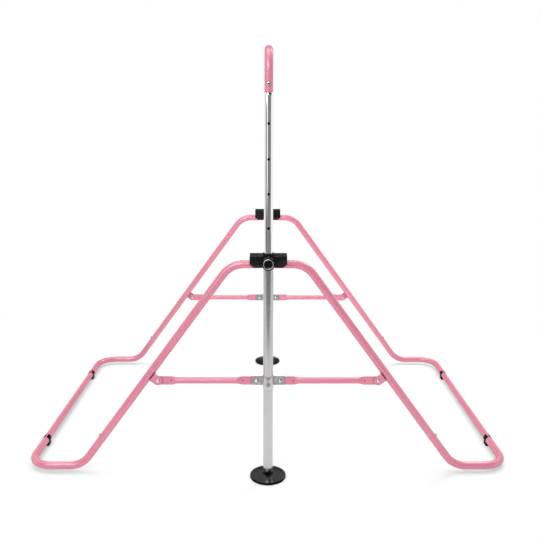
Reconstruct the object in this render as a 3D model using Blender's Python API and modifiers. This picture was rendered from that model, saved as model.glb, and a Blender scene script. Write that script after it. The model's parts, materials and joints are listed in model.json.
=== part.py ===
"""Folding kip bar: a gymnastics bar on two telescopic posts with folding legs.

Metres, +Z up. X runs across the base and Y along the crossbar, with the front end at -Y.
The origin is on the floor in the middle of the base. Both ends of the bar are alike, so each
piece is drawn once for the front end, and the rear end is the same piece turned half round.
"""
import math

import bmesh
import bpy
from mathutils import Matrix, Vector

# Overall layout
POST_SPACING = 1.190      # between the axes of the two posts
TOP_HEIGHT = 1.498        # top of the crossbar at its highest setting
RAIL_SPREAD = 1.753       # between the centrelines of the two side rails
FOOT_SPREAD = 1.361       # between the lower bends of the two legs
SHOULDER_SPREAD = 0.258   # between the upper bends of the two legs
SHOULDER_HEIGHT = 0.7785  # centre of the leg tubes at the hub
BASE_HEIGHT = 0.024       # centre of the base tubes above the floor

# Clearances
SEAT_GAP = 0.0003         # between pieces that touch or run on each other
SLIP_GAP = 0.0004         # between a tube and the tube it plugs into
LEG_PLAY = 0.0008         # between a leg and the walls of the hub's channel

# Tubes
LEG_RADIUS = 0.0127
LEG_WALL = 0.0013
LEG_BEND = 0.09
BASE_BEND = 0.085
UPRIGHT_RADIUS = 0.015
UPRIGHT_WALL = 0.0015
POST_WALL = 0.0011
POST_FOOT = 0.030         # lower end of the post above the floor
BAR_RADIUS = 0.0140
BAR_WALL = 0.0018
BAR_BEND = 0.07
BAR_DROP = 0.1506         # from the top of the crossbar down to its ends
BRACE_RADIUS = 0.0098
BRACE_WALL = 0.0012

# Height setting
PIN_RISE = 0.0185         # pop pin above the centre of the leg tubes
HOLE_PITCH = 0.1132
HOLE_MARGIN = 0.02        # least distance from the top hole to the swage
UPRIGHT_TAIL = 0.15       # length of upright kept in the post below the pin
SWAGE_LENGTH = 0.006
SPIGOT_LENGTH = 0.06
BAR_BOLT_RISE = 0.0258    # bar bolt above the lower end of the crossbar
BOLT_RADIUS = 0.003
BAR_BOLT_HEAD = 0.0062
BAR_BOLT_HEAD_HEIGHT = 0.0036

# Guide bush at the mouth of the post
BUSH_WALL = 0.0006
BUSH_LENGTH = 0.07
BUSH_FLANGE = 0.0024      # how far the flange stands out past the post
BUSH_FLANGE_HEIGHT = 0.0095

# Hub
HUB_WIDTH = 0.126
HUB_RISE = 0.0370         # top of the hub above the centre of the leg tubes
HUB_SKIRT = 0.0025        # lower edge of the hub's front half above the centre of the leg tubes
HUB_LUG = 0.0085          # channel walls below the leg pivots
HUB_WALL = 0.0035
HUB_WEB = 0.0030          # wall between the post and the leg channel
HUB_ROOF = 0.004
HUB_CHAMFER = 0.010
HUB_LUG_CHAMFER = 0.012   # lower ends of the channel walls
HUB_BACK_EDGE = 0.004     # upper edge of the channel's back wall
PIVOT_INSET = 0.015       # leg pivot in from the end of the hub
STUB_OVERHANG = 0.026     # leg tube past its pivot, towards the middle
PIVOT_HEAD = 0.0065
PIVOT_HEAD_HEIGHT = 0.0042

# Pop pin
PIN_RADIUS = 0.004
PIN_PLAY = 0.0006
PIN_TRAVEL = 0.008
PIN_COLLAR = 0.0075
PIN_COLLAR_HEIGHT = 0.002
HOUSING_FLANGE = 0.0185
HOUSING_FLANGE_HEIGHT = 0.0035
HOUSING_BARREL = 0.0125
HOUSING_WALL = 0.003
SPRING_ROOM = 0.010
SPRING_WIRE = 0.0006
SPRING_RADIUS = 0.0072
SPRING_TURNS = 3.5
KNOB_RADIUS = 0.0203
KNOB_WALL = 0.0042
KNOB_EDGE = 0.0016
KNOB_DISH = 0.0145
KNOB_DISH_DEPTH = 0.0009
KNOB_SKIRT_PLAY = 0.0006
KNOB_STEM = 0.003         # how far the pin reaches into the knob's front wall

# Foot
FOOT_RADIUS = 0.0645
FOOT_EDGE = 0.0095
FOOT_DOME = 0.0025
FOOT_ROUND = 0.0035
FOOT_BOSS = 0.0155
FOOT_BOSS_TOP = 0.0195
FOOT_STEM = 0.0083
FOOT_PLUG_INSET = 0.003
FOOT_PLUG_LENGTH = 0.042

# Collar and braces
BRACE_HEIGHT = 0.3595     # brace pivots above the floor
COLLAR_HEIGHT = 0.052
COLLAR_DROP = 0.0205      # lower edge of the sleeve below the brace pivots
COLLAR_WALL = 0.0014
TAB_SPREAD = 0.0832       # between the two brace pivots on the collar
TAB_OVERHANG = 0.0165     # tab past its pivot
TAB_THICKNESS = 0.003
TAB_HEIGHT = 0.029
TAB_CORNER = 0.003
EAR_OFFSET = 0.0365       # brace pivot from the centreline of the leg
EAR_RADIUS = 0.0165
EAR_FOOT = 0.003
EAR_FOOT_INSET = 0.0008   # ear's foot narrower than its plate, on each side
EAR_ARC_STEPS = 6
FLAT_HEIGHT = 0.031
FLAT_THICKNESS = 0.0046
FLAT_OVERHANG = 0.012     # flattened end past its pivot
FLAT_LENGTH = 0.045       # flattened end inside its pivot
FLAT_TAPER = 0.042
FLAT_ROUNDNESS = 0.2      # 1 gives an oval flat, 0 a square-edged one
RIVET_RADIUS = 0.003
RIVET_HEAD = 0.006
RIVET_HEAD_HEIGHT = 0.0026
LOCK_HEAD = 0.0085
LOCK_HEAD_HEIGHT = 0.0035

# Plug-in joints of the base
LEG_END = 0.096           # height of the lower end of the leg
PLUG_LENGTH = 0.08
PLUG_SHOULDER = 0.002
BUTTON_RISE = 0.051       # snap button above the lower end of the leg, along the leg
BUTTON_RADIUS = 0.0047
BUTTON_PLAY = 0.0005
BUTTON_REACH = 0.005      # how far the button stands out of the leg
BUTTON_FLANGE = 0.0064
BUTTON_FLANGE_HEIGHT = 0.0014
PAD_PLACE = 0.350         # middle of a floor pad from the middle of the rail
PAD_LENGTH = 0.028
PAD_WALL = 0.003
PAD_MOUTH = 0.0075
PAD_SOLE = 0.026
RAIL_PLUG = 0.045         # how far the rail plugs into a base corner

# Facets
TUBE_SIDES = 10
ROUND_SIDES = 16
SMALL_SIDES = 8
BEND_STEP = math.radians(22.5)
SPRING_POINTS = 7
MERGE = 0.00001

# Sizes that follow from the ones above
bush_outer = UPRIGHT_RADIUS + SEAT_GAP + BUSH_WALL
post_radius = bush_outer + SEAT_GAP + POST_WALL
plug_radius = LEG_RADIUS - LEG_WALL - SLIP_GAP
spigot_radius = BAR_RADIUS - BAR_WALL - SLIP_GAP
bar_end = TOP_HEIGHT - BAR_DROP
hub_top = SHOULDER_HEIGHT + HUB_RISE
pin_height = SHOULDER_HEIGHT + PIN_RISE
hole_count = 1 + math.floor((bar_end - SWAGE_LENGTH - HOLE_MARGIN - pin_height) / HOLE_PITCH)
post_y = -POST_SPACING / 2
web_back = post_radius + SEAT_GAP + HUB_WEB
leg_y = post_y + web_back + LEG_PLAY + LEG_RADIUS
hub_front = post_y - post_radius - SEAT_GAP - HUB_WALL
hub_back = leg_y + LEG_RADIUS + LEG_PLAY + HUB_WALL
pivot_x = HUB_WIDTH / 2 - PIVOT_INSET
collar_inner = post_radius + SEAT_GAP
tab_front = post_y + collar_inner + COLLAR_WALL / 2
tab_back = tab_front + TAB_THICKNESS
flat_front = tab_back + SEAT_GAP
brace_y = flat_front + FLAT_THICKNESS / 2
flat_back = flat_front + FLAT_THICKNESS
clasp_front = flat_back + SEAT_GAP
clasp_back = clasp_front + TAB_THICKNESS
corner_end = PAD_PLACE + PAD_LENGTH / 2 + SEAT_GAP
housing_length = SEAT_GAP + PIN_TRAVEL + SEAT_GAP + PIN_COLLAR_HEIGHT + SPRING_ROOM + HOUSING_WALL
across = Vector((0, 1, 0))

part_collection = None
work_collection = None


def clear_scene():
    for obj in list(bpy.data.objects):
        bpy.data.objects.remove(obj, do_unlink=True)


def add_collection(name):
    collection = bpy.data.collections.new(name)
    bpy.context.scene.collection.children.link(collection)
    return collection


def make_finish(name, colour, roughness, metallic):
    finish = bpy.data.materials.new(name)
    finish.use_nodes = True
    shader = finish.node_tree.nodes["Principled BSDF"]
    shader.inputs["Base Color"].default_value = (*colour, 1.0)
    shader.inputs["Roughness"].default_value = roughness
    shader.inputs["Metallic"].default_value = metallic
    return finish


# Working meshes

def work_object(data):
    obj = bpy.data.objects.new("work", data)
    work_collection.objects.link(obj)
    return obj


def mesh_from(bm):
    mesh = bpy.data.meshes.new("work")
    bm.to_mesh(mesh)
    bm.free()
    return mesh


def bake(obj, closed=True):
    """The object's evaluated mesh, welded, with its faces turned outwards when it is closed."""
    bpy.context.view_layer.update()
    graph = bpy.context.evaluated_depsgraph_get()
    mesh = bpy.data.meshes.new_from_object(obj.evaluated_get(graph))
    bpy.data.objects.remove(obj, do_unlink=True)
    bm = bmesh.new()
    bm.from_mesh(mesh)
    bmesh.ops.remove_doubles(bm, verts=bm.verts, dist=MERGE)
    if closed:
        bmesh.ops.recalc_face_normals(bm, faces=bm.faces)
    bm.to_mesh(mesh)
    bm.free()
    return mesh


def combined(mesh, tools, operation):
    base = work_object(mesh)
    cutters = []
    for tool in tools:
        cutter = work_object(tool)
        cutter.hide_render = True
        cutter.display_type = "WIRE"
        cutters.append(cutter)
        boolean = base.modifiers.new(operation, "BOOLEAN")
        boolean.operation = operation
        boolean.object = cutter
    result = bake(base)
    for cutter in cutters:
        bpy.data.objects.remove(cutter, do_unlink=True)
    return result


def union(mesh, *tools):
    return combined(mesh, tools, "UNION")


def cut(mesh, *tools):
    return combined(mesh, tools, "DIFFERENCE")


def box(low, high):
    bm = bmesh.new()
    bmesh.ops.create_cube(bm, size=1.0)
    low = Vector(low)
    high = Vector(high)
    bmesh.ops.scale(bm, vec=high - low, verts=bm.verts)
    bmesh.ops.translate(bm, vec=(low + high) / 2, verts=bm.verts)
    return mesh_from(bm)


def bevelled(mesh, width, segments, wanted):
    """Bevel the edges whose two ends the test accepts."""
    bm = bmesh.new()
    bm.from_mesh(mesh)
    edges = [edge for edge in bm.edges if wanted(edge.verts[0].co, edge.verts[1].co)]
    bmesh.ops.bevel(bm, geom=edges, offset=width, segments=segments, profile=0.5, affect="EDGES")
    bm.to_mesh(mesh)
    bm.free()
    return mesh


def facing(origin, direction):
    """Matrix that puts a shape drawn along +Z at the origin, along the direction."""
    turn = Vector(direction).to_track_quat("Z", "Y").to_matrix().to_4x4()
    return Matrix.Translation(Vector(origin)) @ turn


def rod(radius, start, end, sides=SMALL_SIDES):
    start = Vector(start)
    end = Vector(end)
    length = (end - start).length
    bm = bmesh.new()
    bmesh.ops.create_cone(bm, cap_ends=True, segments=sides, radius1=radius, radius2=radius, depth=length)
    mesh = mesh_from(bm)
    mesh.transform(facing((start + end) / 2, end - start))
    return mesh


def hole_across(radius, middle, reach):
    """Cutter for a hole along Y, through the given point."""
    return rod(radius + SEAT_GAP, middle - across * reach, middle + across * reach)


def turned(profile, closed=False, sides=ROUND_SIDES):
    """Solid of revolution about Z from radius and height pairs, top to bottom on the outer side."""
    bm = bmesh.new()
    verts = [bm.verts.new((radius, 0, height)) for radius, height in profile]
    for first, second in zip(verts, verts[1:]):
        bm.edges.new((first, second))
    if closed:
        bm.edges.new((verts[-1], verts[0]))
    obj = work_object(mesh_from(bm))
    screw = obj.modifiers.new("turn", "SCREW")
    screw.axis = "Z"
    screw.steps = sides
    screw.render_steps = sides
    screw.use_merge_vertices = True
    screw.merge_threshold = MERGE
    return bake(obj)


def dome(radius, base, height, steps=2):
    """Profile points of a low dome, from its top on the axis down to its edge."""
    points = []
    for step in range(steps + 1):
        angle = step / steps * math.pi / 2
        points.append((radius * math.sin(angle), base + height * math.cos(angle)))
    return points


def bend(before, corner, after, radius):
    """Points of the arc that rounds a corner of a path."""
    to_before = (before - corner).normalized()
    to_after = (after - corner).normalized()
    inside = to_before.angle(to_after)
    turn = math.pi - inside
    start = corner + to_before * radius * math.tan(turn / 2)
    centre = corner + (to_before + to_after).normalized() * radius / math.sin(inside / 2)
    axis = to_after.cross(to_before)
    count = max(3, round(turn / BEND_STEP))
    return [centre + Matrix.Rotation(turn * step / count, 3, axis) @ (start - centre)
            for step in range(count + 1)]


def swept(points, radii, sides=TUBE_SIDES):
    """Open surface of a round tube along a path, with a radius at each point."""
    curve = bpy.data.curves.new("work", "CURVE")
    curve.dimensions = "3D"
    curve.bevel_depth = 1.0
    curve.bevel_resolution = sides // 2 - 2
    spline = curve.splines.new("POLY")
    spline.points.add(len(points) - 1)
    for point, place, radius in zip(spline.points, points, radii):
        point.co = (*place, 1.0)
        point.radius = radius
    return bake(work_object(curve), closed=False)


def extruded(outline, thickness):
    """Flat plate with the given outline, centred on its own XY plane."""
    curve = bpy.data.curves.new("work", "CURVE")
    curve.dimensions = "2D"
    curve.fill_mode = "BOTH"
    curve.extrude = thickness / 2
    spline = curve.splines.new("POLY")
    spline.points.add(len(outline) - 1)
    for point, (x, y) in zip(spline.points, outline):
        point.co = (x, y, 0.0, 1.0)
    spline.use_cyclic_u = True
    return bake(work_object(curve))


def walled(surface, wall):
    obj = work_object(surface)
    shell = obj.modifiers.new("wall", "SOLIDIFY")
    shell.thickness = wall
    shell.offset = -1.0
    shell.use_even_offset = True
    return bake(obj)


def tube(points, radius, wall, sides=TUBE_SIDES):
    return walled(swept(points, [radius] * len(points), sides), wall)


# Placing

def add_part(name, mesh, origin, parent, finish):
    obj = bpy.data.objects.new(name, mesh)
    obj.location = origin
    obj.parent = parent
    if not mesh.materials:
        mesh.materials.append(finish)
    part_collection.objects.link(obj)
    return obj


def prepared(mesh, origin):
    """Move a mesh so that its own origin is at the given point, and shade it smooth."""
    mesh.transform(Matrix.Translation(-Vector(origin)))
    mesh.shade_smooth()
    mesh.set_sharp_from_angle(angle=math.radians(35))
    return mesh


def at_both_ends(ends, title, mesh, origin, finish):
    mesh = prepared(mesh, origin)
    for end, empty in ends.items():
        add_part(f"{end}_{title}", mesh, origin, empty, finish)


def on_both_sides(ends, title, make, origin, finish):
    """Pieces that an end has left and right, where the rear end turns left into right."""
    for side in (-1, 1):
        place = Vector(origin)
        place.x *= side
        mesh = prepared(make(side), place)
        for end, empty in ends.items():
            world_side = side if end == "front" else -side
            hand = "left" if world_side < 0 else "right"
            add_part(f"{end}_{hand}_{title}", mesh, place, empty, finish)


# Mast

def make_crossbar():
    rise = TOP_HEIGHT - BAR_RADIUS
    corners = [Vector((0, post_y, bar_end)), Vector((0, post_y, rise)),
               Vector((0, -post_y, rise)), Vector((0, -post_y, bar_end))]
    points = [corners[0]]
    points += bend(*corners[0:3], BAR_BEND)
    points += bend(*corners[1:4], BAR_BEND)
    points.append(corners[3])
    bar = tube(points, BAR_RADIUS, BAR_WALL, ROUND_SIDES)
    holes = []
    for y in (post_y, -post_y):
        middle = Vector((0, y, bar_end + BAR_BOLT_RISE))
        holes.append(hole_across(BOLT_RADIUS, middle, 2 * BAR_RADIUS))
    return cut(bar, *holes)


def make_upright():
    shoulder = bar_end - SEAT_GAP
    foot = pin_height - UPRIGHT_TAIL
    spigot_top = shoulder + SPIGOT_LENGTH
    outline = [(spigot_radius, spigot_top), (spigot_radius, shoulder),
               (UPRIGHT_RADIUS, shoulder - SWAGE_LENGTH), (UPRIGHT_RADIUS, foot)]
    inside = [(radius - UPRIGHT_WALL, height) for radius, height in reversed(outline)]
    upright = turned(outline + inside, closed=True)
    upright.transform(Matrix.Translation((0, post_y, 0)))
    reach = 2 * UPRIGHT_RADIUS
    bolt = Vector((0, post_y, bar_end + BAR_BOLT_RISE))
    holes = [hole_across(BOLT_RADIUS, bolt, reach)]
    for number in range(hole_count):
        middle = Vector((0, post_y, pin_height + number * HOLE_PITCH))
        holes.append(rod(PIN_RADIUS + PIN_PLAY, middle, middle - across * reach))
    return cut(upright, *holes)


def make_bar_bolt():
    seat = BAR_RADIUS + SEAT_GAP
    profile = dome(BAR_BOLT_HEAD, seat, BAR_BOLT_HEAD_HEIGHT)
    profile += [(BOLT_RADIUS, seat), (BOLT_RADIUS, -seat), (BAR_BOLT_HEAD, -seat)]
    profile += [(BAR_BOLT_HEAD, -seat - BAR_BOLT_HEAD_HEIGHT), (0, -seat - BAR_BOLT_HEAD_HEIGHT)]
    bolt = turned(profile, sides=SMALL_SIDES)
    bolt.transform(facing((0, post_y, bar_end + BAR_BOLT_RISE), -across))
    return bolt


# Post, hub and foot

def pin_hole(reach):
    start = Vector((0, post_y, pin_height))
    return rod(PIN_RADIUS + PIN_PLAY, start, start - across * reach)


def make_post():
    inner = post_radius - POST_WALL
    profile = [(post_radius, hub_top), (post_radius, POST_FOOT), (inner, POST_FOOT), (inner, hub_top)]
    post = turned(profile, closed=True)
    post.transform(Matrix.Translation((0, post_y, 0)))
    return cut(post, pin_hole(2 * post_radius))


def make_bush():
    seat = hub_top + SEAT_GAP
    inner = UPRIGHT_RADIUS + SEAT_GAP
    flange = post_radius + BUSH_FLANGE
    rim = seat + BUSH_FLANGE_HEIGHT
    foot = hub_top - BUSH_LENGTH
    profile = [(flange - BUSH_FLANGE / 2, rim), (flange, rim - BUSH_FLANGE / 2), (flange, seat),
               (bush_outer, seat), (bush_outer, foot), (inner, foot), (inner, rim)]
    bush = turned(profile, closed=True)
    bush.transform(Matrix.Translation((0, post_y, 0)))
    return cut(bush, pin_hole(2 * post_radius))


def make_hub():
    half = HUB_WIDTH / 2
    lug = SHOULDER_HEIGHT - HUB_LUG
    web_y = post_y + web_back

    def lower_end(first, second):
        along_y = abs(first.y - second.y) > HUB_WALL
        return along_y and max(first.z, second.z) < (lug + hub_top) / 2

    def front_upright(first, second):
        return abs(first.z - second.z) > HUB_WALL and max(first.y, second.y) < post_y

    def back_edge(first, second):
        along_x = abs(first.x - second.x) > half
        return along_x and min(first.y, second.y) > leg_y and min(first.z, second.z) > SHOULDER_HEIGHT

    front = box((-half, hub_front, SHOULDER_HEIGHT + HUB_SKIRT), (half, web_y, hub_top))
    front = bevelled(front, HUB_CHAMFER, 1, lower_end)
    front = bevelled(front, HUB_WALL, 2, front_upright)
    back = box((-half, web_y - HUB_WEB, lug), (half, hub_back, hub_top))
    back = bevelled(back, HUB_BACK_EDGE, 2, back_edge)
    back = bevelled(back, HUB_LUG_CHAMFER, 1, lower_end)
    below = lug - HUB_CHAMFER
    roof = hub_top - HUB_ROOF
    above = hub_top + HUB_CHAMFER
    bore = post_radius + SEAT_GAP
    channel = box((-HUB_WIDTH, web_y, below), (HUB_WIDTH, hub_back - HUB_WALL, roof))
    cutters = [channel, pin_hole(4 * post_radius),
               rod(bore, (0, post_y, below), (0, post_y, above), ROUND_SIDES)]
    for side in (-1, 1):
        near = side * (bore + HUB_WALL)
        far = side * (half - HUB_WALL)
        cutters.append(box((min(near, far), hub_front + HUB_WALL, below),
                           (max(near, far), web_y - HUB_WEB, roof)))
        bolt = Vector((side * pivot_x, hub_back, SHOULDER_HEIGHT))
        cutters.append(hole_across(BOLT_RADIUS, bolt, 2 * HUB_WALL))
    return cut(union(front, back), *cutters)


def make_pivot_bolt(side):
    profile = dome(PIVOT_HEAD, SEAT_GAP, PIVOT_HEAD_HEIGHT)
    profile += [(BOLT_RADIUS, SEAT_GAP), (BOLT_RADIUS, -HUB_WALL), (0, -HUB_WALL)]
    bolt = turned(profile, sides=SMALL_SIDES)
    bolt.transform(facing((side * pivot_x, hub_back, SHOULDER_HEIGHT), across))
    return bolt


def make_foot():
    plug = post_radius - POST_WALL - SEAT_GAP
    plug_bottom = POST_FOOT + FOOT_PLUG_INSET
    plug_top = plug_bottom + FOOT_PLUG_LENGTH
    profile = [(0, plug_top), (plug, plug_top), (plug, plug_bottom), (FOOT_STEM, plug_bottom),
               (FOOT_STEM, FOOT_BOSS_TOP), (FOOT_BOSS, FOOT_EDGE + FOOT_DOME)]
    for radius, height in dome(FOOT_ROUND, FOOT_EDGE - FOOT_ROUND, FOOT_ROUND):
        profile.append((FOOT_RADIUS - FOOT_ROUND + radius, height))
    profile += [(FOOT_RADIUS, FOOT_ROUND / 2), (FOOT_RADIUS - FOOT_ROUND / 2, 0), (0, 0)]
    foot = turned(profile)
    foot.transform(Matrix.Translation((0, post_y, 0)))
    return foot


# Pop pin, drawn along the way out from the front of the hub

def out_of_hub(mesh):
    mesh.transform(facing((0, hub_front, pin_height), -across))
    return mesh


def make_housing():
    bore = PIN_RADIUS + SEAT_GAP
    cavity = SPRING_RADIUS + SPRING_WIRE + KNOB_SKIRT_PLAY + PIN_PLAY
    ceiling = housing_length - HOUSING_WALL
    flange = HOUSING_FLANGE_HEIGHT
    profile = [(bore, housing_length), (HOUSING_BARREL, housing_length), (HOUSING_BARREL, flange),
               (HOUSING_FLANGE, flange), (HOUSING_FLANGE, SEAT_GAP), (cavity, SEAT_GAP),
               (cavity, ceiling), (bore, ceiling)]
    return out_of_hub(turned(profile, closed=True))


knob_inside = housing_length + PIN_TRAVEL + SEAT_GAP
pin_collar_foot = SEAT_GAP + PIN_TRAVEL


def make_plunger():
    tip = hub_front - (post_y - UPRIGHT_RADIUS - SEAT_GAP)
    collar_top = pin_collar_foot + PIN_COLLAR_HEIGHT
    profile = [(0, knob_inside + KNOB_STEM - SEAT_GAP), (PIN_RADIUS, knob_inside + KNOB_STEM - SEAT_GAP),
               (PIN_RADIUS, collar_top), (PIN_COLLAR, collar_top), (PIN_COLLAR, pin_collar_foot),
               (PIN_RADIUS, pin_collar_foot), (PIN_RADIUS, tip + PIN_RADIUS / 4),
               (PIN_RADIUS * 3 / 4, tip), (0, tip)]
    return out_of_hub(turned(profile, sides=SMALL_SIDES))


def make_knob():
    front = knob_inside + KNOB_WALL
    back = HOUSING_FLANGE_HEIGHT + PIN_TRAVEL + SEAT_GAP
    skirt = HOUSING_BARREL + KNOB_SKIRT_PLAY
    stem = PIN_RADIUS + SEAT_GAP
    dish = front - KNOB_DISH_DEPTH
    profile = [(0, dish), (KNOB_DISH, dish), (KNOB_DISH, front), (KNOB_RADIUS - KNOB_EDGE, front),
               (KNOB_RADIUS - KNOB_EDGE / 3, front - KNOB_EDGE / 3), (KNOB_RADIUS, front - KNOB_EDGE),
               (KNOB_RADIUS, back), (skirt, back), (skirt, knob_inside), (stem, knob_inside),
               (stem, knob_inside + KNOB_STEM), (0, knob_inside + KNOB_STEM)]
    return out_of_hub(turned(profile))


def spring_points():
    """Helix between the pin's collar and the front wall of the housing."""
    foot = pin_collar_foot + PIN_COLLAR_HEIGHT + SEAT_GAP + SPRING_WIRE
    head = housing_length - HOUSING_WALL - SEAT_GAP - SPRING_WIRE
    count = round(SPRING_TURNS * SPRING_POINTS)
    points = []
    for step in range(count + 1):
        share = step / count
        angle = share * SPRING_TURNS * math.tau
        points.append(Vector((SPRING_RADIUS * math.cos(angle), SPRING_RADIUS * math.sin(angle),
                              foot + share * (head - foot))))
    return points


def make_spring():
    points = spring_points()
    curve = bpy.data.curves.new("work", "CURVE")
    curve.dimensions = "3D"
    curve.bevel_depth = SPRING_WIRE
    curve.bevel_resolution = 0
    curve.use_fill_caps = True
    spline = curve.splines.new("POLY")
    spline.points.add(len(points) - 1)
    for point, place in zip(spline.points, points):
        point.co = (*place, 1.0)
    gaps = [(first - second).length for number, first in enumerate(points)
            for second in points[number + SPRING_POINTS // 2:]]
    print("least gap between spring turns, mm:", round((min(gaps) - 2 * SPRING_WIRE) * 1000, 3))
    return out_of_hub(bake(work_object(curve)))


# Collar and braces

def brace_pivot():
    """Ear pivot on the left leg: at brace height, set in from the leg's centreline."""
    top = Vector((-SHOULDER_SPREAD / 2, leg_y, SHOULDER_HEIGHT))
    down = leg_direction(-1)
    inward = Vector((-down.z, 0, down.x))
    along = (BRACE_HEIGHT - top.z - inward.z * EAR_OFFSET) / down.z
    return top + down * along + inward * EAR_OFFSET


def leg_direction(side):
    run = side * (FOOT_SPREAD - SHOULDER_SPREAD) / 2
    return Vector((run, 0, BASE_HEIGHT - SHOULDER_HEIGHT)).normalized()


def make_collar():
    """Sleeve with two pairs of tabs behind it, each pair open for the flattened end of a brace."""
    low = BRACE_HEIGHT - COLLAR_DROP
    high = low + COLLAR_HEIGHT
    outer = collar_inner + COLLAR_WALL
    sleeve = turned([(outer, high), (outer, low), (collar_inner, low), (collar_inner, high)], closed=True)
    sleeve.transform(Matrix.Translation((0, post_y, 0)))
    reach = TAB_SPREAD / 2 + TAB_OVERHANG
    half = TAB_HEIGHT / 2
    tabs = box((-reach, tab_front, BRACE_HEIGHT - half), (reach, clasp_back, BRACE_HEIGHT + half))

    def tab_corner(first, second):
        return abs(first.y - second.y) > TAB_THICKNESS / 2

    tabs = bevelled(tabs, TAB_CORNER, 2, tab_corner)
    holes = []
    turning_room = math.hypot(FLAT_OVERHANG, FLAT_HEIGHT / 2) + LEG_PLAY
    for side in (-1, 1):
        near = side * (TAB_SPREAD / 2 - turning_room)
        far = side * 2 * reach
        holes.append(box((min(near, far), tab_back, low), (max(near, far), clasp_front, high)))
        middle = Vector((side * TAB_SPREAD / 2, brace_y, BRACE_HEIGHT))
        holes.append(hole_across(RIVET_RADIUS, middle, FLAT_THICKNESS + 2 * TAB_THICKNESS))
    lock = Vector((0, post_y, BRACE_HEIGHT))
    holes.append(rod(BOLT_RADIUS + SEAT_GAP, lock, lock - across * 2 * outer))
    return cut(union(sleeve, tabs), *holes)


def make_lock():
    """Screw in the front of the sleeve, whose point stops just clear of the post."""
    seat = collar_inner + COLLAR_WALL + SEAT_GAP
    profile = dome(LOCK_HEAD, seat, LOCK_HEAD_HEIGHT)
    profile += [(BOLT_RADIUS, seat), (BOLT_RADIUS, collar_inner), (0, collar_inner)]
    lock = turned(profile, sides=SMALL_SIDES)
    lock.transform(facing((0, post_y, BRACE_HEIGHT), -across))
    return lock


def make_rivet(x, back):
    """Rivet from the front of a tab or an ear to the back of what it holds."""
    head = tab_front - SEAT_GAP
    tail = back + SEAT_GAP
    profile = dome(RIVET_HEAD, -head, RIVET_HEAD_HEIGHT)
    profile += [(RIVET_RADIUS, -head), (RIVET_RADIUS, -tail)]
    profile += reversed(dome(RIVET_HEAD, -tail, -RIVET_HEAD_HEIGHT))
    rivet = turned(profile, sides=SMALL_SIDES)
    rivet.transform(facing((x, 0, BRACE_HEIGHT), -across))
    return rivet


def make_brace(side):
    """Round tube pressed flat at both ends, with a rivet hole through each flat."""
    inner = TAB_SPREAD / 2 - FLAT_OVERHANG
    outer = -brace_pivot().x + FLAT_OVERHANG
    flat = FLAT_OVERHANG + FLAT_LENGTH
    stations = [0, flat, flat + FLAT_TAPER / 2, flat + FLAT_TAPER]
    length = outer - inner
    stations += [length - station for station in reversed(stations)]
    points = [Vector((side * (inner + station), brace_y, BRACE_HEIGHT)) for station in stations]
    surface = swept(points, [BRACE_RADIUS] * len(points))
    for vert in surface.vertices:
        station = abs(vert.co.x) - inner
        to_end = min(station, length - station)
        press = 1 - min(max((to_end - flat) / FLAT_TAPER, 0), 1)
        press = press * press * (3 - 2 * press)
        depth = (vert.co.y - brace_y) / BRACE_RADIUS
        height = (vert.co.z - BRACE_HEIGHT) / BRACE_RADIUS
        half_depth = BRACE_RADIUS + (FLAT_THICKNESS / 2 - BRACE_RADIUS) * press
        half_height = BRACE_RADIUS + (FLAT_HEIGHT / 2 - BRACE_RADIUS) * press
        squareness = 1 - (1 - FLAT_ROUNDNESS) * press
        if abs(depth) > MERGE:
            vert.co.y = brace_y + math.copysign(half_depth * abs(depth) ** squareness, depth)
        vert.co.z = BRACE_HEIGHT + half_height * height
    holes = []
    for x in (TAB_SPREAD / 2, -brace_pivot().x):
        holes.append(hole_across(RIVET_RADIUS, Vector((side * x, brace_y, BRACE_HEIGHT)), FLAT_HEIGHT))
    return cut(walled(surface, BRACE_WALL), *holes)


# Legs and base

def leg_end_point(side):
    top = Vector((side * SHOULDER_SPREAD / 2, leg_y, SHOULDER_HEIGHT))
    down = leg_direction(side)
    return top + down * (LEG_END - SHOULDER_HEIGHT) / down.z


def button_axis(side):
    """Point on the leg's centreline under the snap button, and the way out through it."""
    down = leg_direction(side)
    return leg_end_point(side) - down * BUTTON_RISE, Vector((down.z * -side, 0, down.x * side))


def button_hole(side):
    start, out = button_axis(side)
    return rod(BUTTON_RADIUS + BUTTON_PLAY, start, start + out * 2 * LEG_RADIUS)


def make_ear(side):
    """Plate in front of the brace with a bent foot along the inner side of the leg."""
    pivot = Vector((-brace_pivot().x * side, leg_y, BRACE_HEIGHT))
    down = leg_direction(side)
    inward = Vector((down.z * side, 0, -down.x * side))
    low = LEG_RADIUS - LEG_WALL / 2 - EAR_OFFSET
    outline = [(EAR_RADIUS, low + EAR_FOOT / 2), (-EAR_RADIUS, low + EAR_FOOT / 2)]
    for step in range(EAR_ARC_STEPS + 1):
        angle = math.pi * (1 - step / EAR_ARC_STEPS)
        outline.append((EAR_RADIUS * math.cos(angle), EAR_RADIUS * math.sin(angle)))
    plate = extruded(outline, TAB_THICKNESS)
    middle = (tab_front + tab_back) / 2
    width = EAR_RADIUS - EAR_FOOT_INSET
    foot = box((-width, low, 0), (width, low + EAR_FOOT, leg_y - middle))
    frame = Matrix((down, inward, across)).transposed().to_4x4()
    frame.translation = Vector((pivot.x, middle, BRACE_HEIGHT))
    for mesh in (plate, foot):
        mesh.transform(frame)
        if frame.determinant() < 0:
            mesh.flip_normals()
    pivot.y = middle
    return cut(union(plate, foot), hole_across(RIVET_RADIUS, pivot, TAB_THICKNESS))


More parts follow.
